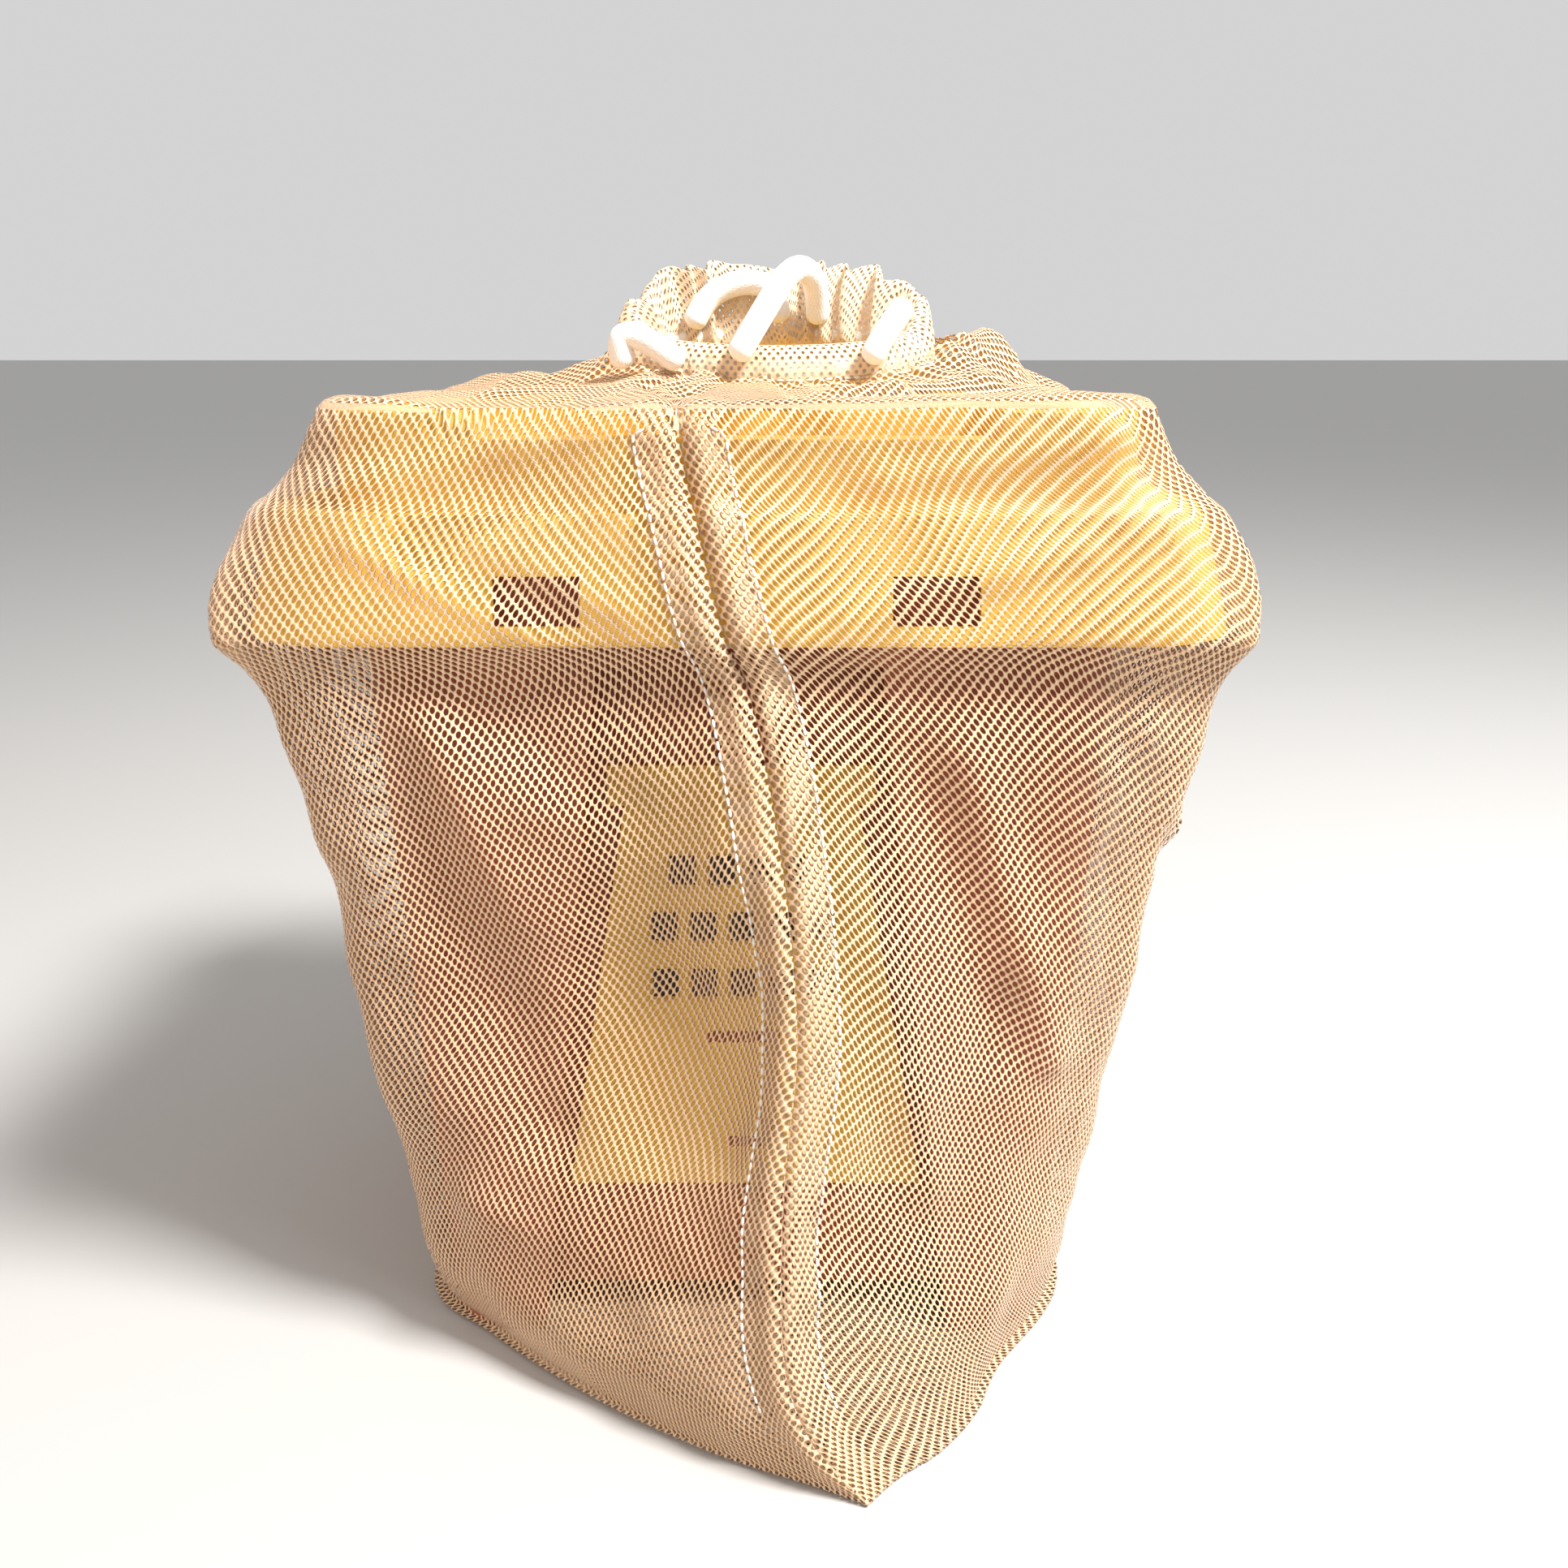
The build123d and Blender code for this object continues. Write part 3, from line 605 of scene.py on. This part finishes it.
def make_knit_group():
    """Node group: staggered rows of six-sided holes in a knitted ground, from a map in metres."""
    group = bpy.data.node_groups.new("knitted_mesh", "ShaderNodeTree")
    group_socket(group, "Cloth place", "NodeSocketVector")
    group_socket(group, "Column pitch", "NodeSocketFloat", 0.0025)
    group_socket(group, "Row pitch", "NodeSocketFloat", 0.0034)
    group_socket(group, "Hole width", "NodeSocketFloat", 0.00125)
    group_socket(group, "Hole height", "NodeSocketFloat", 0.0017)
    group_socket(group, "Yarn", "NodeSocketFloat", output=True)
    group_socket(group, "Height", "NodeSocketFloat", output=True)
    group_socket(group, "Painted highlight loops", "NodeSocketFloat", output=True)
    given = group.nodes.new("NodeGroupInput")
    result = group.nodes.new("NodeGroupOutput")
    split = group.nodes.new("ShaderNodeSeparateXYZ")
    wobble = group.nodes.new("ShaderNodeTexNoise")
    wobble.inputs["Scale"].default_value = 420.0
    wobble.inputs["Detail"].default_value = 1.0
    group.links.new(given.outputs["Cloth place"], wobble.inputs["Vector"])
    group.links.new(given.outputs["Cloth place"], split.inputs["Vector"])
    u, v = split.outputs["X"], split.outputs["Y"]
    shake = math_node(group, "MULTIPLY_ADD", wobble.outputs["Fac"], 0.0004, -0.0002)
    u = math_node(group, "ADD", u, shake)
    column = math_node(group, "DIVIDE", u, given.outputs["Column pitch"])
    row = math_node(group, "DIVIDE", v, given.outputs["Row pitch"])

    def hole_distance(shift):
        """0 in the middle of a hole, 1 at its rim."""
        across = math_node(group, "FRACT", math_node(group, "ADD", column, shift))
        across = math_node(group, "ABSOLUTE", math_node(group, "SUBTRACT", across, 0.5))
        across = math_node(group, "MULTIPLY", across, given.outputs["Column pitch"])
        upward = math_node(group, "FRACT", math_node(group, "ADD", row, shift))
        upward = math_node(group, "ABSOLUTE", math_node(group, "SUBTRACT", upward, 0.5))
        upward = math_node(group, "MULTIPLY", upward, given.outputs["Row pitch"])
        half_width = math_node(group, "MULTIPLY", given.outputs["Hole width"], 0.5)
        half_height = math_node(group, "MULTIPLY", given.outputs["Hole height"], 0.5)
        x = math_node(group, "DIVIDE", across, half_width)
        y = math_node(group, "DIVIDE", upward, half_height)
        slanted = math_node(group, "MULTIPLY_ADD", x, 0.72, math_node(group, "MULTIPLY", y, 0.62))
        oval = math_node(group, "SQRT", math_node(
            group, "ADD", math_node(group, "MULTIPLY", x, x), math_node(group, "MULTIPLY", y, y)))
        return math_node(group, "MAXIMUM", oval, math_node(group, "MULTIPLY", slanted, 0.92))

    distance = math_node(group, "MINIMUM", hole_distance(0.0), hole_distance(0.5))
    solid = group.nodes.new("ShaderNodeMapRange")
    solid.interpolation_type = "SMOOTHSTEP"
    solid.inputs["From Min"].default_value = 0.93
    solid.inputs["From Max"].default_value = 1.07
    group.links.new(distance, solid.inputs["Value"])
    round_yarn = group.nodes.new("ShaderNodeMapRange")
    round_yarn.interpolation_type = "SMOOTHERSTEP"
    round_yarn.inputs["From Min"].default_value = 0.95
    round_yarn.inputs["From Max"].default_value = 1.55
    group.links.new(distance, round_yarn.inputs["Value"])
    loops = group.nodes.new("ShaderNodeTexWave")
    loops.bands_direction = "DIAGONAL"
    loops.inputs["Scale"].default_value = 1150.0
    loops.inputs["Distortion"].default_value = 3.0
    loops.inputs["Detail"].default_value = 2.0
    loops.inputs["Detail Scale"].default_value = 2.0
    group.links.new(given.outputs["Cloth place"], loops.inputs["Vector"])
    height = math_node(group, "MULTIPLY_ADD", loops.outputs["Fac"], 0.35, round_yarn.outputs["Result"])
    # painted highlight: bright on the crests of the knit loops and nothing at the hole rims; the cloth
    # material paints it into the base colour
    light = math_node(group, "MULTIPLY", loops.outputs["Fac"], round_yarn.outputs["Result"])
    group.links.new(solid.outputs["Result"], result.inputs["Yarn"])
    group.links.new(height, result.inputs["Height"])
    group.links.new(light, result.inputs["Painted highlight loops"])
    return group


knit_group = make_knit_group()


# deep is the painted shade colour where the yarn turns into the holes; pale is the cream of the yarn's
# crests, which carry painted highlights
def make_cloth_material(name, deep, pale, hole_width, hole_height):
    """Cream polyester mesh: see-through in its holes, with painted shade, darker and warmer, where the
    yarn turns into the holes, and painted highlights on the crests of its loops.
    """
    material = bpy.data.materials.new(name)
    material.use_nodes = True
    tree = material.node_tree
    shader = tree.nodes["Principled BSDF"]
    shader.inputs["Roughness"].default_value = 0.82
    shader.inputs["Sheen Weight"].default_value = 0.25
    shader.inputs["Sheen Roughness"].default_value = 0.4
    shader.inputs["Specular IOR Level"].default_value = 0.3
    cloth_map = tree.nodes.new("ShaderNodeUVMap")
    cloth_map.uv_map = "cloth"
    knit = tree.nodes.new("ShaderNodeGroup")
    knit.node_tree = knit_group
    knit.inputs["Hole width"].default_value = hole_width
    knit.inputs["Hole height"].default_value = hole_height
    tree.links.new(cloth_map.outputs["UV"], knit.inputs["Cloth place"])
    place = tree.nodes.new("ShaderNodeTexCoord")
    drift = tree.nodes.new("ShaderNodeTexNoise")
    drift.inputs["Scale"].default_value = 9.0
    drift.inputs["Detail"].default_value = 5.0
    tree.links.new(place.outputs["Object"], drift.inputs["Vector"])
    # painted light in the base colour: painted shade at the hole rims and painted highlights on the
    # loop crests, with the drift adding a random tone on top
    painted_shade_and_drift = math_node(tree, "MULTIPLY_ADD", drift.outputs["Fac"], 0.35,
                       math_node(tree, "MULTIPLY_ADD", knit.outputs["Painted highlight loops"], 0.75, 0.05))
    mix_base_colour(tree, painted_shade_and_drift, deep, pale)
    add_bump(tree, knit.outputs["Height"], 0.27, 0.0004)
    tree.links.new(knit.outputs["Yarn"], shader.inputs["Alpha"])
    return material


# first colour: painted shade at the hole rims; second: the cream of the crests, with painted
# highlights
mesh_cloth = make_cloth_material(
    "cream_mesh", (0.54, 0.29, 0.12), (0.91, 0.75, 0.55), 0.00146, 0.00182)
TOP_HALF_WIDTH = 0.1105   # the flat top of the load, as the cloth lies on it
TOP_HALF_DEPTH = 0.0965


def cloth_map_places(grid, side):
    """Place on the flat cloth, in metres; on top of the load it follows the nearest side."""
    along = lengths_along(grid, 1)
    across = along / along[:, -1:] * PANEL_WIDTH
    upward = lengths_along(grid, 0)
    x, y = grid[..., 0], grid[..., 1]
    edge = int(np.argmax(grid[:, COLUMNS // 2, 2] > (crown_top - 1) * MM))
    on_top = np.arange(ROWS + 1)[:, None] > edge
    height = upward[edge, COLUMNS // 2]
    wide, deep = np.abs(x) / TOP_HALF_WIDTH, np.abs(y) / TOP_HALF_DEPTH
    front = on_top & (deep > wide) & (y < 0)
    back = on_top & (deep > wide) & (y >= 0)
    flank = on_top & (deep <= wide)
    across = np.where(front, np.abs(x - SEAM_TOP_X * MM), across)
    across = np.where(back, PANEL_WIDTH - np.abs(x + SEAM_TOP_X * MM), across)
    across = np.where(flank, 0.2 + y, across)
    upward = np.where(front | back, height + TOP_HALF_DEPTH - np.abs(y), upward)
    upward = np.where(flank, height + TOP_HALF_WIDTH - np.abs(x), upward)
    lean = LEFT_KNIT_LEAN if side < 0 else RIGHT_KNIT_LEAN
    away = across * (1 if side > 0 else -1)
    return np.stack([
        away * math.cos(lean) + upward * math.sin(lean),
        upward * math.cos(lean) - away * math.sin(lean)], axis=2)


shaped = {}
panels = {}
for side, name in ((-1, "left"), (1, "right")):
    grid = keep_off_load(shaped_panel(side))
    shaped[name] = grid
    inner = grid - surface_normals(grid, side) * CLOTH_THICK
    places = cloth_map_places(smooth_grids[side], side)
    panels[name] = grid_object(f"{name}_mesh_panel", [grid, inner], places, mesh_cloth, side > 0)
    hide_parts(f"{name}_panel")
    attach(panels[name], "bag")

# ---------------------------------------------------------------------------------------------
# Seam allowances: the two edges of each seam, opened flat on the inside, so that the cloth is
# double for 14 mm each side of the seam and the holes of the two layers cover each other.
# ---------------------------------------------------------------------------------------------
ALLOWANCE_COLUMNS = 6
ALLOWANCE_DEPTH = 0.0011
ALLOWANCE_SHIFT = (0.00135, 0.0012)   # its holes fall beside the panel's
BARE_ROWS = 12                        # rows at the bottom seam without a strip


def strip_along_seam(name, at_back, width, depth):
    """Grid of points beside a seam, up to a width from it and at a depth under the panel."""
    grid = shaped[name]
    along = lengths_along(grid, 1)
    if at_back:
        along = along[:, -1:] - along
    side = -1 if name == "left" else 1
    normals = surface_normals(grid, side)
    strip = np.zeros((grid.shape[0], ALLOWANCE_COLUMNS + 1, 3))
    wanted = np.linspace(0.0004, width, ALLOWANCE_COLUMNS + 1)
    order = slice(None, None, -1) if at_back else slice(None)
    for i in range(grid.shape[0]):
        for k in range(3):
            inner = grid[i, order, k] - normals[i, order, k] * depth
            strip[i, :, k] = np.interp(wanted, along[i, order], inner)
    return strip


trimmings = {"left": [], "right": []}
# first colour: painted shade at the hole rims; second: the cream of the crests, with painted
# highlights
allowance_cloth = make_cloth_material(
    "cream_mesh_inner", (0.54, 0.29, 0.12), (0.91, 0.74, 0.53), 0.0010, 0.0013)
for name, side in (("left", -1), ("right", 1)):
    for at_back, where in ((False, "front"), (True, "back")):
        strip = strip_along_seam(name, at_back, ALLOWANCE_WIDTH, ALLOWANCE_DEPTH)[BARE_ROWS:]
        places = np.zeros((*strip.shape[:2], 2))
        places[..., 0] = np.linspace(0, ALLOWANCE_WIDTH, ALLOWANCE_COLUMNS + 1) + ALLOWANCE_SHIFT[0]
        places[..., 1] = lengths_along(strip, 0) + ALLOWANCE_SHIFT[1]
        turned = (side > 0) != at_back
        piece = grid_object(
            f"{where}_allowance_{name}_strip", [strip], places, allowance_cloth, turned)
        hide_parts(f"{where}_seam_allowance_{name}")
        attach(piece, "bag")
        trimmings[name].append(piece)

# ---------------------------------------------------------------------------------------------
# Topstitching: one row of white lockstitch down each side of each seam. Every stitch is a short
# length of thread that dives into the cloth at both ends.
# ---------------------------------------------------------------------------------------------
STITCH_PITCH = 0.0031
STITCH_LENGTH = 0.0025
THREAD_RADIUS = 0.00038
LOWEST_STITCH = 0.022


def make_thread_material():
    """White spun polyester thread with a fine twist, with painted shade in the grooves of the twist.
    """
    material = bpy.data.materials.new("white_thread")
    material.use_nodes = True
    tree = material.node_tree
    shader = tree.nodes["Principled BSDF"]
    shader.inputs["Roughness"].default_value = 0.6
    place = tree.nodes.new("ShaderNodeTexCoord")
    twist = tree.nodes.new("ShaderNodeTexWave")
    twist.bands_direction = "DIAGONAL"
    twist.inputs["Scale"].default_value = 1400.0
    twist.inputs["Distortion"].default_value = 1.5
    tree.links.new(place.outputs["Object"], twist.inputs["Vector"])
    # painted shade: greyer in the twist's grooves, whiter on its raised plies
    mix_base_colour(tree, twist.outputs["Fac"], (0.80, 0.77, 0.72), (0.97, 0.96, 0.94))
    add_bump(tree, twist.outputs["Fac"], 0.4, 0.0002)
    return material


white_thread = make_thread_material()


def add_stitch(sheet, start, end, up):
    """One stitch: a flattened, tapered barrel of thread between two needle holes."""
    run = end - start
    made = bmesh.ops.create_uvsphere(sheet, u_segments=8, v_segments=5, radius=1.0)["verts"]
    bmesh.ops.scale(sheet, vec=(THREAD_RADIUS * 1.25, THREAD_RADIUS, run.length / 2), verts=made)
    turn = run.to_track_quat("Z", "Y").to_matrix()
    bmesh.ops.rotate(sheet, cent=(0, 0, 0), matrix=turn, verts=made)
    bmesh.ops.translate(sheet, vec=(start + end) / 2 + up * THREAD_RADIUS * 0.5, verts=made)


def stitch_row(name, line, outward):
    """Row of stitches along a line of points on the cloth."""
    step = np.linalg.norm(np.diff(line, axis=0), axis=1)
    place = np.concatenate([[0], np.cumsum(step)])
    sheet = bmesh.new()
    rng = random.Random(name)
    start = 0.0
    while start + STITCH_LENGTH < place[-1]:
        ends = []
        for at in (start, start + STITCH_LENGTH * rng.uniform(0.94, 1.04)):
            ends.append(Vector([np.interp(at, place, line[:, k]) for k in range(3)]))
        up = Vector([np.interp(start, place, outward[:, k]) for k in range(3)]).normalized()
        add_stitch(sheet, ends[0], ends[1], up)
        start += STITCH_PITCH
    for face in sheet.faces:
        face.smooth = True
    return object_from(name, sheet, white_thread)


for name, side in (("left", -1), ("right", 1)):
    for at_back, where in ((False, "front"), (True, "back")):
        outer = strip_along_seam(name, at_back, STITCH_PLACE, 0.0)[:, -1]
        inner = strip_along_seam(name, at_back, STITCH_PLACE, 0.001)[:, -1]
        sewn = (outer[:, 2] > LOWEST_STITCH) & (outer[:, 2] < (crown_top - 3) * MM)
        row = stitch_row(f"{where}_stitches_{name}", outer[sewn], (outer - inner)[sewn])
        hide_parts(f"{where}_topstitch_{name}")
        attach(row, "bag")
        trimmings[name].append(row)

# ---------------------------------------------------------------------------------------------
# The mouth: each panel's top edge is turned over and sewn into a tunnel for the cord. Drawn
# tight, it crumples into pleats that lie flat at the front and stand up in a ruff at the back.
# ---------------------------------------------------------------------------------------------
HEM_ROWS = 44
HEM_COLUMNS = 260
PLEATS = 10
TUNNEL = 5.6           # radius of the hem round its cord
HEM_STITCH_ROW = 5


def hem_point(side, share, climb):
    """Point of the hem: climb runs from the panel's edge up over the tunnel and down inside."""
    angle = -SEAM_ANGLE + side * math.pi * share
    back = (1 + math.sin(angle)) / 2
    # 0 at the front, where the pleats lie flat, and 1 at the back, where they stand up
    stand = min(max((back - 0.25) / 0.6, 0), 1) ** 1.3
    wander = noise.noise(Vector((share * 7.0 + side * 3.0, 1.7, 0.4)))
    pleat = math.sin(2 * math.pi * (share * PLEATS + wander * 1.6))
    crumple = noise.noise(Vector((share * 30.0, climb * 3.0 + side * 4.0, 2.0)))
    ruff = 3.0 + 13.5 * stand + 3.0 * noise.noise(Vector((share * 8.0, side, 5.0))) * stand
    turn = -0.3 * math.pi + climb * 1.6 * math.pi
    lift = math.sin(turn)
    fullness = max(math.cos((climb - 0.5) * math.pi), 0)
    spread = TUNNEL * math.cos(turn) * (1 - 0.35 * stand * max(lift, 0))
    spread += (pleat * (0.5 + 2.6 * stand) + crumple * (0.8 + 1.6 * stand)) * fullness
    rise = TUNNEL * lift + ruff * max(lift, 0) ** 0.7 + 1.3 * pleat * stand * max(lift, 0)
    return (
        mouth_x + (RING_HALF_WIDTH + spread) * math.cos(angle),
        mouth_y + (RING_HALF_DEPTH + spread) * math.sin(angle),
        crown_top + RING_STAND + RING_RISE * back + rise)


# first colour: painted shade at the hole rims; second: the cream of the crests, with painted
# highlights
hem_cloth = make_cloth_material(
    "cream_mesh_hem", (0.60, 0.37, 0.18), (0.93, 0.78, 0.59), 0.0010, 0.0012)
for side, name in ((-1, "left"), (1, "right")):
    grid = np.array([
        [hem_point(side, j / HEM_COLUMNS, i / HEM_ROWS) for j in range(HEM_COLUMNS + 1)]
        for i in range(HEM_ROWS + 1)]) * MM
    places = np.zeros((*grid.shape[:2], 2))
    places[..., 0] = lengths_along(grid, 1)[HEM_ROWS // 2][None, :]
    places[..., 1] = lengths_along(grid, 0) + 0.5
    piece = grid_object(f"mouth_hem_{name}", [grid], places, hem_cloth, side > 0)
    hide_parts(f"mouth_casing_{name}")
    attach(piece, "bag")
    outward = surface_normals(grid, side)[HEM_STITCH_ROW]
    row = stitch_row(f"hem_stitches_{name}", grid[HEM_STITCH_ROW], outward)
    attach(row, "bag")

# ---------------------------------------------------------------------------------------------
# The drawstring: one smooth white braided polyester cord, 8 mm thick. It runs round inside the
# hem, stands out of the mouth in slack loops, and its two tails hang down the back to a knot.
# ---------------------------------------------------------------------------------------------
CORD = 0.008
CORD_SIDES = 20        # faces round the cord
TIP_RINGS = 5          # rings of a rounded tip
TIP_BLUNTNESS = 0.8
RING_STEPS = 96
KNOT_STEPS = 120
TAILS_X = 5.0          # the tails leave the hem this far right of the middle
TAIL_SPREAD = 4.6      # each one's distance from there


def make_cord_material():
    """Tightly braided white polyester: fine crossing strands, slightly glossy, with painted shade in
    the grooves between the strands.
    """
    material = bpy.data.materials.new("white_braid")
    material.use_nodes = True
    tree = material.node_tree
    shader = tree.nodes["Principled BSDF"]
    shader.inputs["Roughness"].default_value = 0.5
    shader.inputs["Sheen Weight"].default_value = 0.2
    cord_map = tree.nodes.new("ShaderNodeUVMap")
    cord_map.uv_map = "UVMap"
    split = tree.nodes.new("ShaderNodeSeparateXYZ")
    tree.links.new(cord_map.outputs["UV"], split.inputs["Vector"])
    bands = []
    for lean in (1.0, -1.0):
        slant = math_node(tree, "MULTIPLY_ADD", split.outputs["Y"], 8.0 * lean,
                          math_node(tree, "MULTIPLY", split.outputs["X"], 26.0))
        bands.append(math_node(tree, "ABSOLUTE", math_node(
            tree, "SUBTRACT", math_node(tree, "FRACT", slant), 0.5)))
    weave = math_node(tree, "MULTIPLY", math_node(tree, "MINIMUM", bands[0], bands[1]), 2.0)
    place = tree.nodes.new("ShaderNodeTexCoord")
    drift = tree.nodes.new("ShaderNodeTexNoise")
    drift.inputs["Scale"].default_value = 90.0
    tree.links.new(place.outputs["Object"], drift.inputs["Vector"])
    # the base colour is painted shade: greyer in the weave's grooves and whiter on its raised strands,
    # with the drift adding a random tone
    painted_shade_and_drift = math_node(tree, "MULTIPLY_ADD", weave, 0.8, math_node(
        tree, "MULTIPLY", drift.outputs["Fac"], 0.6))
    mix_base_colour(tree, painted_shade_and_drift, (0.80, 0.80, 0.82), (0.95, 0.95, 0.955))
    add_bump(tree, weave, 0.25, 0.0003)
    return material


white_braid = make_cord_material()


def route_line(points):
    """Points read from the smooth spline that follows a cord's route."""
    curve = bpy.data.curves.new("route", "CURVE")
    curve.dimensions = "3D"
    spline = curve.splines.new("NURBS")
    spline.points.add(len(points) - 1)
    for point, place in zip(spline.points, points):
        point.co = (place[0] * MM, place[1] * MM, place[2] * MM, 1)
    spline.order_u = 3
    spline.use_endpoint_u = True
    spline.resolution_u = 10
    holder = bpy.data.objects.new("route", curve)
    line = bpy.data.meshes.new_from_object(holder)
    places = np.array([v.co for v in line.vertices])
    bpy.data.objects.remove(holder)
    bpy.data.curves.remove(curve)
    bpy.data.meshes.remove(line)
    return places


def rounded_tip(place, outward, way, length):
    """Rings of a melted tip, from the cord's end out to its point."""
    rings = []
    for k in range(1, TIP_RINGS + 1):
        bend = math.pi / 2 * k / TIP_RINGS
        middle = place + outward * CORD / 2 * TIP_BLUNTNESS * math.sin(bend)
        rings.append((middle, way, CORD / 2 * max(math.cos(bend), 0.06), length))
    return rings


def cord_tube(name, line, round_start, round_end):
    """Round cord along a line, with a rounded tip where it ends in the open."""
    length = np.concatenate([[0], np.cumsum(np.linalg.norm(np.diff(line, axis=0), axis=1))])
    tangents = np.gradient(line, axis=0)
    tangents /= np.linalg.norm(tangents, axis=1, keepdims=True)
    rings = [(place, way, CORD / 2, at) for place, way, at in zip(line, tangents, length)]
    if round_start:
        rings = rounded_tip(line[0], -tangents[0], tangents[0], length[0])[::-1] + rings
    if round_end:
        rings += rounded_tip(line[-1], tangents[-1], tangents[-1], length[-1])
    tube = bmesh.new()
    coords = tube.loops.layers.uv.new("UVMap")
    side = Vector((1, 0, 0))
    loops_of_verts = []
    for place, way, size, _ in rings:
        way = Vector(way)
        side = (side - way * side.dot(way)).normalized()
        over = way.cross(side)
        ring = []
        for k in range(CORD_SIDES):
            angle = 2 * math.pi * k / CORD_SIDES
            ring.append(tube.verts.new(
                Vector(place) + (side * math.cos(angle) + over * math.sin(angle)) * size))
        loops_of_verts.append(ring)
    for i in range(len(rings) - 1):
        for k in range(CORD_SIDES):
            after = (k + 1) % CORD_SIDES
            face = tube.faces.new((
                loops_of_verts[i][k], loops_of_verts[i][after],
                loops_of_verts[i + 1][after], loops_of_verts[i + 1][k]))
            face.smooth = True
            left, right = k / CORD_SIDES, (k + 1) / CORD_SIDES
            low, high = rings[i][3] / (math.pi * CORD), rings[i + 1][3] / (math.pi * CORD)
            for loop, uv in zip(face.loops, ((left, low), (right, low), (right, high), (left, high))):
                loop[coords].uv = uv
    for ring in (loops_of_verts[0][::-1], loops_of_verts[-1]):
        tube.faces.new(ring)
    return object_from(name, tube, white_braid)


# the slack loops, with the route's points in millimetres
LEFT_LOOP = [(-38.5, -15.5, 309), (-39.5, -16, 313.5), (-37.3, -16, 316.5), (-32, -16.5, 315.5),
             (-26.5, -17, 312), (-22, -17.5, 309)]
MAIN_LOOP = [(-1, -19, 311.5), (3, -16.5, 318), (8.5, -10, 327), (13, -4, 334), (17.7, 2, 337.4),
             (22, 8, 335), (24, 13.5, 329), (24, 16.5, 323)]
BACK_LOOP = [(-17, 15, 321.5), (-14, 16, 327), (-8, 17, 331.5), (0, 17.5, 333.5), (7, 16.5, 332.3),
             (10, 15.5, 328.5), (10.8, 15, 323.5)]
RIGHT_ROD = [(41, -16, 310.5), (44, -14.5, 316), (50, -11, 324)]
small_loops = []
for name, points in (("left_hump", LEFT_LOOP), ("back_arc", BACK_LOOP), ("right_end", RIGHT_ROD)):
    piece = cord_tube(name, route_line(points), True, True)
    small_loops.append(piece)
main_line = route_line(MAIN_LOOP)
main_loop = cord_tube("main_loop", main_line, True, True)
for piece, node in zip(
        small_loops + [main_loop],
        ("slack_loop_left", "slack_loop_back", "slack_end_right", "slack_loop_main")):
    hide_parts(node)
    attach(piece, "slack")

# the stretch inside the hem
ring_line = []
for k in range(RING_STEPS + 1):
    angle = 2 * math.pi * k / RING_STEPS
    ring_line.append((
        mouth_x + RING_HALF_WIDTH * math.cos(angle), mouth_y + RING_HALF_DEPTH * math.sin(angle),
        crown_top + RING_STAND + RING_RISE * (1 + math.sin(angle)) / 2))
ring = cord_tube("cord_in_hem", np.array(ring_line) * MM, False, False)
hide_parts("drawstring_ring")
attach(ring, "bag")


def tail_route(side):
    """Tail from the back of the mouth, over the crown and down the back of the bag to the knot."""
    x = TAILS_X + side * TAIL_SPREAD
    return [
        (x + 3, 31.8, 319), (x + 2, 44, 321.5), (x + 1, 60, 319), (x, 77, 313.5), (x - 1, 94, 309.5),
        (x - 1, 109, 303), (x, 119.5, 290), (x - side * 0.8, 124, 270), (x - side * 0.4, 125, 248),
        (x + side * 0.5, 127.5, 224), (x + side * 1.5, 132.5, 199), (x + side * 1.2, 138.5, 174),
        (x + side * 0.5, 144, 150), (x, 148.5, 126)]


# the knot that both tails share, and the two ends below it
knot_low, knot_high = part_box("tail_knot")
knot_middle = (knot_low + knot_high) / 2
knot_line = []
for k in range(KNOT_STEPS + 1):
    t = 2 * math.pi * k / KNOT_STEPS
    knot_line.append((
        knot_middle.x + 0.0024 * (math.sin(t) + 2 * math.sin(2 * t)),
        knot_middle.y + 0.0042 * math.sin(3 * t),
        knot_middle.z + 0.0029 * (math.cos(t) - 2 * math.cos(2 * t))))
knot = cord_tube("overhand_knot", np.array(knot_line), False, False)
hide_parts("tail_knot")
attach(knot, "tails")
for side, name in ((-1, "left"), (1, "right")):
    x = TAILS_X + side * TAIL_SPREAD
    base = knot_low.z / MM
    end_line = route_line([
        (x * 0.8 + 1, 150.5, base + 8), (x, 151, base), (x + side * 1.5, 153, base - 13),
        (x + side * 4, 156, base - 23)])
    tail_end = cord_tube(f"cord_end_{name}", end_line, False, True)
    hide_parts(f"tail_end_{name}")
    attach(tail_end, "tails")
    line = route_line(tail_route(side))
    tail = cord_tube(f"cord_tail_{name}", line, False, False)
    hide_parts(f"drawstring_tail_{name}")
    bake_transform(tail)
